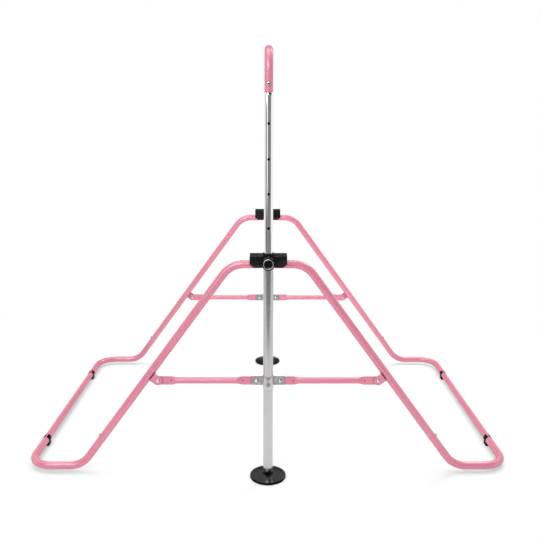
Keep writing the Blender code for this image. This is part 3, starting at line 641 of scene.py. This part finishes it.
def makeBarBolt():
    middle = Vector((0, postY, barEnd + barBoltSet["rise"]))
    seat = barBoltSet["seat"]
    top = seat + barBoltSet["headHeight"]
    end = barBoltSet["end"]
    over = barBoltSet["endLength"]
    tail = [(barBoltSet["shaft"], -seat), (end, -seat), (end, -seat - over), (0, -seat - over)]
    front = middle - alongBar * (top + over)
    socket = drill(front, front + alongBar * (barBoltSet["socketDepth"] + over), barBoltSet["socket"], 6)
    bolt = makeScrew(barBoltSet, top, seat, tail, middle, -alongBar, [socket])
    back = middle + alongBar * seat
    nut = drill(back, back + alongBar * barBoltSet["headHeight"], barBoltSet["head"], 6)
    return joined(bolt, finishMesh(nut, edge=barBoltSet["nutEdge"]))


bothEnds("upright_tube", makeUpright(**uprightSet), "chrome", "upright")
bothEnds("bar_bolt_screw", makeBarBolt(), "zinc", "bar_bolt", coats=("brightSteel",))
print("uprights ready")


# lower posts

postSet = dict(
    radius=0.0173, wall=0.0011, rings=(0.42, 0.30, 0.06), foot=0.0158, crimp=0.0112, crimpHeight=0.024,
    crimpInside=0.95, crimpSteps=8,
)


def pinBore():
    start = (0, hubFront - pinLead, pinZ)
    return drill(start, (0, postY, pinZ), pinRadius)


def makePost(radius, wall, rings, foot, crimp, crimpHeight, crimpInside, crimpSteps):
    # the lower end is drawn in round the stem of the foot
    outer = []
    inner = []
    for angle in quarter(crimpSteps):
        narrow = crimp * (1 - math.cos(angle))
        height = foot + crimpHeight * (1 - math.sin(angle))
        outer.append((radius - narrow, height))
        inner.append((radius - wall - narrow * crimpInside, height + wall * math.sin(angle)))
    outline = [(radius, level) for level in (hubTop, *rings)] + outer
    outline += inner[::-1] + [(radius - wall, hubTop)]
    return turned(outline, steps=96, closed=True, holes=[pinBore()])


bothEnds("post_tube", makePost(**postSet), "silver_coat", "lower_post")
print("posts ready")


# hubs: a front block round the post and a channel behind it for the legs

hubSet = dict(
    width=0.126, skirt=0.781, lug=0.0085, wall=0.0027, web=0.0022, roof=0.004, chamfer=0.010,
    lugChamfer=0.012, backEdge=0.004, frontEdge=0.0026, edge=0.0007, longEdge=0.012,
)


def makeHub():
    half = hubSet["width"] / 2
    top = hubTop
    lug = shoulderZ - hubSet["lug"]
    low = lug - overcut
    bore = postSet["radius"] + seatGap
    webBack = postY + bore + hubSet["web"]
    webFront = webBack - hubSet["web"]
    wall = hubSet["wall"]
    roof = top - hubSet["roof"]

    def lowEnds(edge):
        return span(edge, "y") > hubSet["longEdge"] and max(vert.co.z for vert in edge.verts) < pinZ

    def frontCorners(edge):
        return span(edge, "z") > hubSet["longEdge"] and max(vert.co.y for vert in edge.verts) < postY

    def backRidge(edge):
        behind = min(vert.co.y for vert in edge.verts) > legY
        return span(edge, "x") > half and behind and edge.verts[0].co.z > roof

    front = block((-half, hubFront, hubSet["skirt"]), (half, webBack, top))
    roundEdges(front, hubSet["chamfer"], 1, lowEnds)
    roundEdges(front, hubSet["frontEdge"], 4, frontCorners)
    back = block((-half, webFront, lug), (half, hubBack, top))
    roundEdges(back, hubSet["backEdge"], 5, backRidge)
    roundEdges(back, hubSet["lugChamfer"], 1, lowEnds)
    holes = [block((-2 * half, webBack, low), (2 * half, hubBack - wall, roof)),
             drill((0, postY, low), (0, postY, top + overcut), bore, 64), pinBore()]
    for side in (-1, 1):
        near, far = sorted((side * (bore + wall), side * (half - wall)))
        holes.append(block((near, hubFront + wall, low), (far, webFront, roof)))
    return finishMesh(front, joins=[back], holes=holes, edge=hubSet["edge"], segments=3)


pivotSet = dict(
    x=0.048, head=0.0065, height=0.0045, flat=0.0036, round=0.0026, shaft=0.003, socket=0.0030,
    socketStart=0.006, socketDepth=0.0040,
)


def makePivotBolt(side):
    tail = [(pivotSet["shaft"], -hubSet["wall"]), (0, -hubSet["wall"])]
    place = Vector((side * pivotSet["x"], hubBack, shoulderZ))
    front = place + alongBar * pivotSet["socketStart"]
    socket = drill(front, front - alongBar * pivotSet["socketDepth"], pivotSet["socket"], 6)
    return makeScrew(pivotSet, pivotSet["height"], seatGap, tail, place, alongBar, [socket])


bushSet = dict(
    height=0.0095, radius=0.0197, rounding=0.0014, inner=0.0153, lip=0.0004, sleeve=0.0159, depth=0.07,
)


def makeBush(height, radius, rounding, inner, lip, sleeve, depth):
    seat = hubTop + seatGap
    rim = seat + height
    low = hubTop - depth
    profile = [(inner, rim - lip), (inner + lip, rim)] + roundCorner(radius, rim, rounding)
    profile += [(radius, seat), (sleeve, seat), (sleeve, low), (inner, low)]
    return turned(profile, steps=72, closed=True, holes=[pinBore()], sharp=45)


bothEnds("hub_moulding", makeHub(), "black_plastic", "hub")
fourCorners("pivot_screw", makePivotBolt, "black_steel", "pivot_bolt")
bothEnds("bush_ring", makeBush(**bushSet), "black_plastic", "guide_bush")
print("hubs ready")


# pop pins

pinPlace = Vector((0, hubFront, pinZ))
housingSet = dict(
    flange=0.0185, flangeHeight=0.0035, flangeRound=0.0014, barrel=0.0125, barrelEdge=0.0008, length=0.0236,
    cavity=0.009, bore=0.0043, cap=0.003,
)


def makeHousing(flange, flangeHeight, flangeRound, barrel, barrelEdge, length, cavity, bore, cap):
    bottom = length - cap
    profile = [(bore, length), (barrel - barrelEdge, length), (barrel, length - barrelEdge),
               (barrel, flangeHeight + barrelEdge), (barrel + barrelEdge, flangeHeight)]
    profile += roundCorner(flange, flangeHeight, flangeRound)
    profile += [(flange, seatGap), (cavity, seatGap), (cavity, bottom), (bore, bottom)]
    return turned(profile, pinPlace, -alongBar, closed=True, sharp=40)


knobSet = dict(
    radius=0.0216, back=0.0118, front=0.0361, frontRound=0.0010, backRound=0.0012,
    skirt=0.0131, inside=0.0319, seat=0.0043, seatDepth=0.003,
    dish=0.0142, dishDepth=0.0009, dishSag=0.0002,
    dishRim=[(-0.003, -0.0001), (-0.0006, 0), (-0.0001, 0.0004), (0.0004, 0.0009)],  # from the dish's edge
    ringOut=0.0175, ringIn=0.0146, groove=0.0008, ringGap=0.0001,
)
ringSet = dict(  # from the groove's sides and the knob's face
    innerEdge=[(0, -0.0007), (0, -0.0002), (0.0004, 0)], outerEdge=[(-0.0004, 0), (0, -0.0003), (0, -0.0007)],
)


def makeKnob(radius, back, front, frontRound, backRound, skirt, inside, seat, seatDepth, dish, dishDepth,
             dishSag, dishRim, ringOut, ringIn, groove, ringGap):
    face = front - ringGap
    floor = front - dishDepth
    low = front - groove
    end = inside + seatDepth
    profile = [(0, floor - dishSag)] + offsets(dishRim, dish, floor)
    profile += [(ringIn, front), (ringIn, low), (ringOut, low), (ringOut, face)]
    profile += roundCorner(radius, face, frontRound, 6) + roundCorner(radius, back, backRound, top=False)
    profile += [(skirt, back), (skirt, inside), (seat, inside), (seat, end), (0, end)]
    return turned(profile, pinPlace, -alongBar, steps=96, sharp=40)


def makeKnobRing(innerEdge, outerEdge):
    profile = offsets(innerEdge, knobSet["ringIn"] + knobSet["ringGap"], knobSet["front"])
    profile += offsets(outerEdge, knobSet["ringOut"] - knobSet["ringGap"], knobSet["front"])
    return turned(profile, pinPlace, -alongBar, steps=96, closed=True)


bothEnds("pin_barrel", makeHousing(**housingSet), "black_plastic", "pin_housing")
bothEnds("pin_handle", makeKnob(**knobSet), "black_plastic", "pin_knob")
bothEnds("pin_handle_ring", makeKnobRing(**ringSet), "zinc", "pin_knob", stands=False, coats=("brightSteel",))
print("pop pins ready")


# feet

footSet = dict(
    radius=0.0645, edge=0.0095, rounding=0.0035, crown=0.019, dome=0.0025, domePower=1.6,
    domeSteps=8, neck=[  # plug in the post, stem and low cone, as radius and height
        (0, 0.075), (0.0148, 0.075), (0.0158, 0.074), (0.0158, 0.048), (0.0055, 0.044), (0.0050, 0.0435),
        (0.0050, 0.0158), (0.0055, 0.0154), (0.0105, 0.0142), (0.0160, 0.0124), (0.0190, 0.0119)],
    soleRound=0.0017, sole=[(-0.006, 0), (-0.0066, 0.0008)], hollow=0.0008,
    polishOver=0.001, polishSlope=0.8,
)


def makeFoot(radius, edge, rounding, crown, dome, domePower, domeSteps, neck, soleRound, sole, hollow,
             polishOver, polishSlope):
    top = edge + dome
    rim = radius - rounding
    profile = list(neck)
    for number in range(1, domeSteps):  # low crown of the disc
        share = number / domeSteps
        profile.append((crown + (rim - crown) * share, top - dome * share ** domePower))
    profile += roundCorner(radius, edge, rounding, 8) + roundCorner(radius, 0.0, soleRound, top=False)
    profile += offsets(sole, radius, 0.0) + [(0, hollow)]
    mesh = turned(profile, steps=128)
    for face in mesh.polygons:  # the crown is polished, the neck and rim are dull
        reach = math.hypot(face.center.x, face.center.y - postY)
        face.material_index = int(crown < reach < rim + polishOver and face.normal.z > polishSlope)
    return mesh


bothEnds("foot_disc", makeFoot(**footSet), "black_rubber", "foot", coats=("dullBlack", "black_rubber"))
print("feet ready")


# collars, their tabs and lock screws

collarSet = dict(
    inner=0.0176, wall=0.0014, drop=0.0205, height=0.048, boreGap=0.0002,
    lip=[(-0.0005, 0), (-0.0001, -0.0002), (0, -0.0006)], reach=0.0581, tabHeight=0.029, tabThick=0.003,
    corner=0.003, slot=0.0212, rounding=0.0004,
)


def makeCollar(inner, wall, drop, height, boreGap, lip, reach, tabHeight, tabThick, corner, slot, rounding):
    low = braceZ - drop
    high = low + height
    wide = inner + wall
    profile = [(inner, high)] + offsets(lip, wide, high)
    profile += [(wide + across, low - up) for across, up in reversed(lip)] + [(inner, low)]
    sleeve = turned(profile, steps=72, closed=True)
    for face in sleeve.polygons:  # the sleeve is bright, the tabs are dull
        face.material_index = 1

    def outerCorner(edge):
        return span(edge, "y") > tabThick and min(abs(vert.co.x) for vert in edge.verts) > tabX

    half = tabHeight / 2
    tabs = block((-reach, plateFront, braceZ - half), (reach, claspBack, braceZ + half))
    roundEdges(tabs, corner, 6, outerCorner)
    slots = [drill((0, postY, low), (0, postY, high), inner + boreGap, 64)]
    for side in (-1, 1):  # room for the pressed brace ends
        near, far = sorted((side * slot, side * 2 * reach))
        slots.append(block((near, plateFront + tabThick, low), (far, claspBack - tabThick, high)))
    return joined(sleeve, finishMesh(tabs, holes=slots, edge=rounding))


lockSet = dict(
    head=0.0078, height=0.0030, flat=0.0042, sag=0.0001, round=0.0024, shaft=0.003, slot=(0.0036, 0.0006),
    slotDepth=0.0016, slotStart=0.004,
)


def makeLock():
    inner = collarSet["inner"]
    seat = inner + collarSet["wall"] + seatGap
    top = seat + lockSet["height"]
    place = Vector((0, postY, braceZ))
    front = place - alongBar * (top - lockSet["slotDepth"])
    cross = []
    for wide, tall in (lockSet["slot"], lockSet["slot"][::-1]):
        cross.append(block((-wide, front.y - lockSet["slotStart"], front.z - tall),
                           (wide, front.y, front.z + tall)))
    tail = [(lockSet["shaft"], inner), (0, inner)]
    return makeScrew(lockSet, top, seat, tail, place, -alongBar, cross, 6)


rivetSet = dict(head=0.006, height=0.0026, shaft=0.003, rim=0.0002)


def makeRivet(side, x, back):
    head = seatGap - plateFront
    tail = -back - seatGap
    rim = rivetSet["rim"]
    under = rivetSet["head"] - rim
    profile = domePoints(rivetSet["head"], head, rivetSet["height"])
    profile += [(under, head), (rivetSet["shaft"], head), (rivetSet["shaft"], tail), (under, tail)]
    profile += reversed(domePoints(rivetSet["head"], tail - rim, rim - rivetSet["height"]))
    return turned(profile, (side * x, 0, braceZ), -alongBar, steps=40)


bothEnds("collar_sleeve", makeCollar(**collarSet), "zinc", "collar", coats=("zinc", "silver_coat"))
bothEnds("collar_screw", makeLock(), "zinc", "collar_lock")
for place, x, back in (("tab", tabX, claspBack), ("ear", earX, flatBack)):
    fourCorners(f"{place}_rivet_head", makeRivet, "zinc", f"{place}_rivet", coats=("brightSteel",),
                x=x, back=back)
print("collars ready")


# braces: round tube pressed flat at both ends

braceSet = dict(
    radius=0.0109, depth=-0.5711, overhang=0.012, flat=0.058, taper=0.026,
    rings=[0.0, 0.0015, 0.0232, 0.0435], taperSteps=10, flatThick=0.0046, flatHeight=0.031, roundness=0.2,
    sides=48, centred=0.0001,
)
markSet = dict(
    radius=0.0023, place=0.0475, depth=0.0004, lead=0.02, gap=0.0001, wall=0.0002, bottom=0.0003,
    rise=0.0017,
)


def markPlaces(side):
    # small drain holes near the pressed ends
    return [Vector((side * x, braceSet["depth"], braceZ))
            for x in (tabX + markSet["place"], earX - markSet["place"])]


def makeBrace(side, radius, depth, overhang, flat, taper, rings, taperSteps, flatThick, flatHeight, roundness,
              sides, centred):
    inner = tabX - overhang
    length = earX + overhang - inner
    stations = rings + [flat + taper * number / taperSteps for number in range(taperSteps + 1)]
    stations += [length / 2] + [length - place for place in reversed(stations)]
    start = Vector((side * inner, depth, braceZ))
    bm = straightTube(start, Vector((side, 0, 0)), radius, stations, sides)
    for vert in bm.verts:  # the round section passes smoothly into the flat one
        along = abs(vert.co.x) - inner
        share = 1 - min(max((min(along, length - along) - flat) / taper, 0), 1)
        press = share * share * (3 - 2 * share)
        across = (vert.co.y - depth) / radius
        up = (vert.co.z - braceZ) / radius
        halfDepth = radius + (flatThick / 2 - radius) * press
        halfHeight = radius + (flatHeight / 2 - radius) * press
        power = 1 - (1 - roundness) * press
        if abs(across) > centred:
            vert.co.y = depth + math.copysign(halfDepth * abs(across) ** power, across)
        vert.co.z = braceZ + halfHeight * up
    outward(bm, start)
    bmesh.ops.holes_fill(bm, edges=[edge for edge in bm.edges if edge.is_boundary], sides=0)
    lead = alongBar * markSet["lead"]
    bottom = alongBar * markSet["depth"]
    marks = [drill(place - lead, place + bottom, markSet["radius"], 24) for place in markPlaces(side)]
    return finishMesh(bm, holes=marks, sharp=48)


def makeBraceHoleShade(side):
    # painted shade: black cups in the drain holes, so they read dark
    wide = markSet["radius"] - markSet["gap"]
    slim = wide - markSet["wall"]
    low = -markSet["bottom"]
    profile = [(0, low), (wide, low), (wide, markSet["rise"]), (slim, markSet["rise"]), (slim, 0), (0, 0)]
    return joined(*(turned(profile, place, -alongBar, steps=24, sharp=40) for place in markPlaces(side)))


fourCorners("brace_tube", makeBrace, "pink_powder_coat", "brace", **braceSet)
# black cups that paint shade into the drain holes
fourCorners("brace_hole_shade", makeBraceHoleShade, "black_steel", "brace", stands=False)
print("braces ready")


# legs with their ears

legSet = dict(
    radius=0.0139, wall=0.0012, bend=0.09, stubX=0.022, shoulderX=0.129, footX=0.6805, end=0.096,
    buttonRise=0.051, buttonHole=0.0052, buttonReach=0.03,
)
earSet = dict(
    offset=0.0365, radius=0.0165, thick=0.003, edge=0.0006, sink=0.0012, sides=48, level=0.0001, square=40,
    centre=0.004, spread=4, merge=0.0002, footInset=0.0008, footThick=0.003,
)


def legHeading(side):
    run = side * (legSet["footX"] - legSet["shoulderX"])
    return Vector((run, 0, baseZ - shoulderZ)).normalized()


def legEnd(side):
    top = Vector((side * legSet["shoulderX"], legY, shoulderZ))
    heading = legHeading(side)
    return top + heading * ((legSet["end"] - shoulderZ) / heading.z)


def buttonSeat(side):
    heading = legHeading(side)
    return legEnd(side) - heading * legSet["buttonRise"], Vector((-heading.z * side, 0, heading.x * side))


def buttonBore(side):
    place, out = buttonSeat(side)
    return drill(place, place + out * legSet["buttonReach"], legSet["buttonHole"])


def makeEar(side, offset, radius, thick, edge, sink, sides, level, square, centre, spread, merge, footInset,
            footThick):
    # plate with a round end about the rivet, its foot bent back along the leg
    heading = legHeading(side)
    inward = Vector((heading.z * side, 0, -heading.x * side))
    reach = offset - legSet["radius"] + sink
    bm = bmesh.new()
    bmesh.ops.create_circle(bm, cap_ends=True, segments=sides, radius=radius)
    for vert in bm.verts:
        if vert.co.y < -level:  # the lower half is drawn out to a square tab
            vert.co.y = -reach * min(1.0, -vert.co.y / radius * square)
            outer = abs(vert.co.x) > centre
            vert.co.x = math.copysign(radius, vert.co.x) if outer else vert.co.x * spread
    bmesh.ops.remove_doubles(bm, verts=bm.verts, dist=merge)
    bmesh.ops.translate(bm, vec=(0, 0, -thick / 2), verts=bm.verts)
    plate = bmesh.ops.extrude_face_region(bm, geom=bm.faces[:])["geom"]
    bmesh.ops.translate(bm, vec=(0, 0, thick), verts=only(plate, bmesh.types.BMVert))
    middle = plateFront + thick / 2
    matrix = Matrix((heading, inward, alongBar)).transposed().to_4x4()
    matrix.translation = Vector((side * earX, middle, braceZ))
    half = radius - footInset
    foot = block((-half, -reach, 0), (half, -reach + footThick, legY - middle))
    for part in (bm, foot):
        bmesh.ops.transform(part, matrix=matrix, verts=part.verts)
        bmesh.ops.recalc_face_normals(part, faces=part.faces)
    return joined(finishMesh(bm, edge=edge), finishMesh(foot, edge=edge))


def makeLeg(side):
    corners = [Vector((side * x, legY, shoulderZ))
               for x in (legSet["stubX"], legSet["shoulderX"])] + [legEnd(side)]
    bm = bentTube(corners, legSet["radius"], [legSet["bend"]])
    tube = finishMesh(bm, wall=legSet["wall"], holes=[buttonBore(side)], sharp=40)
    return joined(tube, makeEar(side, **earSet))


buttonSet = dict(radius=0.0047, reach=0.005, flange=0.0064, foot=0.0063, flangeThick=0.0014)


def makeButton(side, radius, reach, flange, foot, flangeThick):
    place, out = buttonSeat(side)
    low = foot - flangeThick
    profile = domePoints(radius, legSet["radius"], reach, 8)
    profile += [(radius, foot), (flange, foot), (flange, low), (0, low)]
    return turned(profile, place, out, steps=40)


fourCorners("leg_tube", makeLeg, "pink_powder_coat", "leg")
fourCorners("button_cap", makeButton, "zinc", "snap_button", **buttonSet)
print("legs ready")


# base: bent corners, side rails and the clips they stand on

baseSet = dict(
    plug=0.0125, rail=0.0126, wall=0.0011, plugLength=0.08, plugStep=0.0002, footBend=0.09,
    cornerBend=0.085, railX=0.8765, cornerEnd=0.3643, railPlug=0.045,
)


def makeCorner(side):
    heading = legHeading(side)
    joint = legEnd(side) + heading * seatGap
    step = heading * baseSet["plugStep"]
    start = joint - heading * baseSet["plugLength"]
    foot = Vector((side * legSet["footX"], legY, baseZ))
    outer = Vector((side * baseSet["railX"], legY, baseZ))
    end = Vector((outer.x, -baseSet["cornerEnd"], baseZ))
    bm, ring = startRing(start, heading, baseSet["plug"])
    ring = pushRing(bm, ring, joint - start)
    ring = pushRing(bm, ring, step, legSet["radius"] / baseSet["plug"])
    followPath(bm, ring, [joint + step, foot, outer, end], [baseSet["footBend"], baseSet["cornerBend"]])
    outward(bm, start)
    return finishMesh(bm, wall=baseSet["wall"], holes=[buttonBore(side)], sharp=40)


def makeRail(side):
    end = baseSet["cornerEnd"]
    reach = end + baseSet["railPlug"]
    start = Vector((side * baseSet["railX"], -reach, baseZ))
    bm = straightTube(start, alongBar, baseSet["rail"], (-reach, -end, end, reach))
    outward(bm, start)
    return finishMesh(bm, wall=baseSet["wall"], sharp=40)


padSet = dict(
    place=0.350, length=0.028, wall=0.0014, gap=0.0002, mouth=0.0075, sole=0.023, edge=0.0007,
)


def makePad(side, place, length, wall, gap, mouth, sole, edge):
    # open ring that grips the rail, grown together with a flat sole
    x = side * baseSet["railX"]
    inner = baseSet["rail"] + gap
    low = -place - length / 2
    high = low + length
    before = low - overcut
    after = high + overcut
    ring = drill((x, low, baseZ), (x, high, baseZ), inner + wall, 72)
    bore = drill((x, before, baseZ), (x, after, baseZ), inner, 72)
    slit = block((x - mouth / 2, before, baseZ), (x + mouth / 2, after, baseZ + 2 * inner))
    bm = block((x - sole / 2, low, 0), (x + sole / 2, high, baseZ))
    return finishMesh(bm, joins=[ring], holes=[bore, slit], edge=edge, segments=3)


fourCorners("corner_tube", makeCorner, "pink_powder_coat", "base_corner")
for hand, side in (("left", -1), ("right", 1)):
    addPiece(f"{hand}_rail_tube", makeRail(side), "pink_powder_coat", f"{hand}_frame", (f"{hand}_base_rail",))
fourCorners("pad_clip", makePad, "black_rubber", "floor_pad", coats=("dullBlack",), **padSet)
print("base ready")

# what stays of the frame: the plungers and springs inside the pin barrels
for end in ("front", "rear"):
    for node in ("pin_plunger", "pin_spring"):
        kept = frame["nodes"][f"{end}_{node}"]
        kept.data.materials.clear()
        kept.data.materials.append(finishes["zinc"])


# studio

studio = dict(
    floorHalf=30.0, floorDrop=0.0003, cardDrop=0.0001, paper=(0.90, 0.90, 0.90, 1), keepShadow=0.72,
    fade=(1.1, 2.2), ambient=0.632, sun=1.08, sunAngle=50.0, sunHeading=(0.10, -0.14, -0.97),
    fillSpread=110.0, cardSteps=16,
)


def bareMaterial(name):
    material = bpy.data.materials.new(name)
    material.use_nodes = True
    tree = material.node_tree
    tree.nodes.remove(tree.nodes["Principled BSDF"])
    return material, tree


def mixShaders(tree, share, first, second, end):
    mix = addNode(tree, "MixShader")
    wire(tree, (*share, mix, 0), (first, 0, mix, 1), (second, 0, mix, 2),
         (mix, 0, tree.nodes[end], "Surface"))


def seenRays(tree, first, *others):
    path = addNode(tree, "LightPath")
    seen = (path, f"Is {first} Ray")
    for kind in others:
        seen = maths(tree, "ADD", seen, (path, f"Is {kind} Ray"), clamp=True)
    return seen


def flatSheet(low, high, drop):
    bm = bmesh.new()
    bmesh.ops.create_grid(bm, x_segments=1, y_segments=1, size=0.5)
    bmesh.ops.scale(bm, vec=(high[0] - low[0], high[1] - low[1], 1), verts=bm.verts)
    bmesh.ops.translate(bm, vec=((low[0] + high[0]) / 2, (low[1] + high[1]) / 2, -drop), verts=bm.verts)
    return bm


def makeFloor():
    half = studio["floorHalf"]
    floor = objectFrom("floor", flatSheet((-half, -half), (half, half), studio["floorDrop"]))
    material, tree = bareMaterial("floorPaper")
    matte = addNode(tree, "BsdfDiffuse", Color=studio["paper"])
    plain = addNode(tree, "Emission", Color=white, Strength=1.0)
    # near the object the paper keeps its shadow, further out it is plain white
    place = addNode(tree, "TexCoord")
    reach = addNode(tree, "VectorMath", operation="LENGTH")
    wire(tree, (place, "Object", reach, 0))
    fade = remap(tree, (reach, "Value"), studio["fade"], (1 - studio["keepShadow"], 1.0), smooth=True)
    share = maths(tree, "MULTIPLY", seenRays(tree, "Camera", "Glossy"), fade)
    mixShaders(tree, share, matte, plain, "Material Output")
    floor.data.materials.append(material)


def makeWorld():
    world = bpy.data.worlds.new("studio")
    scene.world = world
    world.use_nodes = True
    tree = world.node_tree
    plain = tree.nodes["Background"]
    plain.inputs["Color"].default_value = white
    plain.inputs["Strength"].default_value = studio["ambient"]
    seenLight = addNode(tree, "Background", Color=white, Strength=1.0)
    mixShaders(tree, seenRays(tree, "Camera", "Glossy", "Transmission"), plain, seenLight, "World Output")


def reflectedOnly(name, bm, tone):
    # a grey card that only reflections see
    card = objectFrom(name, bm)
    for ray in ("camera", "diffuse", "shadow", "transmission", "volume_scatter"):
        setattr(card, f"visible_{ray}", False)
    material, tree = bareMaterial(name)
    glow = addNode(tree, "Emission", Color=(tone, tone, tone, 1), Strength=1.0)
    wire(tree, (glow, 0, tree.nodes["Material Output"], "Surface"))
    card.data.materials.append(material)


def makeFlag(name, low, high, angles, tone, distance=4.5):
    # upright curved card between two angles from straight ahead of the bar
    bm = bmesh.new()
    first = math.radians(angles[0])
    foot = Vector((math.sin(first) * distance, -math.cos(first) * distance, low))
    verts = [bm.verts.new(foot), bm.verts.new(foot + Vector((0, 0, high - low)))]
    edge = bm.edges.new(verts)
    bmesh.ops.spin(bm, geom=verts + [edge], cent=(0, 0, 0), axis=(0, 0, 1),
                   angle=math.radians(angles[1] - angles[0]), steps=studio["cardSteps"])
    reflectedOnly(name, bm, tone)


def addLight(name, kind, power, heading):
    light = bpy.data.lights.new(name, kind)
    light.energy = power
    lamp = newObject(name, light)
    lamp.rotation_euler = heading.to_track_quat("-Z", "Y").to_euler()
    return lamp, light


def makeLamp(name, place, target, size, power, fill=False):
    lamp, light = addLight(name, "AREA", power, Vector(target) - Vector(place))
    lamp.location = place
    adjust(light, shape="RECTANGLE", size=size[0], size_y=size[1])
    if fill:  # lifts the tone only, with no mirror image or shadow of its own
        lamp.visible_glossy = False
        adjust(light, use_shadow=False, spread=math.radians(studio["fillSpread"]))


makeFloor()
makeWorld()
sun = addLight("sun", "SUN", studio["sun"], Vector(studio["sunHeading"]))[1]
sun.angle = math.radians(studio["sunAngle"])
makeLamp("frontStrip", (-1.2, -4.0, 3.3), (0, -0.3, 0.6), (3.0, 0.3), 62)
makeLamp("backBox", (2.2, 2.6, 3.6), (0, 0, 1.0), (1.4, 1.4), 40)
makeLamp("rearFill", (0.15, -0.45, 0.75), (0.25, 0.6, 0.4), (0.6, 0.4), 1.3, fill=True)
makeFlag("rightFlag", 0.0, 1.6, (-17, 53), 0.235)
makeFlag("leftFlag", 0.0, 2.0, (-71, -46), 0.05)
makeFlag("frontShade", 1.6, 7.0, (-80, 80), 0.03)
makeFlag("backFlag", 1.0, 2.4, (167, 193), 0.04)
makeFlag("backShade", 2.4, 6.5, (160, 200), 0.38)
makeFlag("softStrip", 2.6, 8.0, (-50, -20), 4.0, 4.3)
makeFlag("frontBox", 2.0, 4.0, (-20, 5), 4.0, 4.3)
makeFlag("sideStrip", 1.4, 3.4, (-45, -37), 6.0, 4.3)
reflectedOnly("farFloor", flatSheet((-5.0, -9.0), (5.0, -2.1), studio["cardDrop"]), 0.3)
print("studio ready")


# camera, at the photograph's height and distance

view = dict(
    place=(-0.0075, -2.8199, 1.2635), down=0.21993, yaw=0.00585, roll=0.00296, lens=44.98, sensor=36.0,
)


def makeCamera():
    level = math.cos(view["down"])
    forward = Vector((math.sin(view["yaw"]) * level, math.cos(view["yaw"]) * level, -math.sin(view["down"])))
    right = Vector((math.cos(view["yaw"]), -math.sin(view["yaw"]), 0))
    up = right.cross(forward)
    turn = Matrix.Rotation(-view["roll"], 3, forward)
    data = bpy.data.cameras.new("camera")
    data.lens = view["lens"]
    data.sensor_width = view["sensor"]
    camera = newObject("camera", data)
    matrix = Matrix((turn @ right, turn @ up, -forward)).transposed().to_4x4()
    matrix.translation = Vector(view["place"])
    camera.matrix_world = matrix
    scene.camera = camera


makeCamera()
scene.view_settings.view_transform = "Standard"
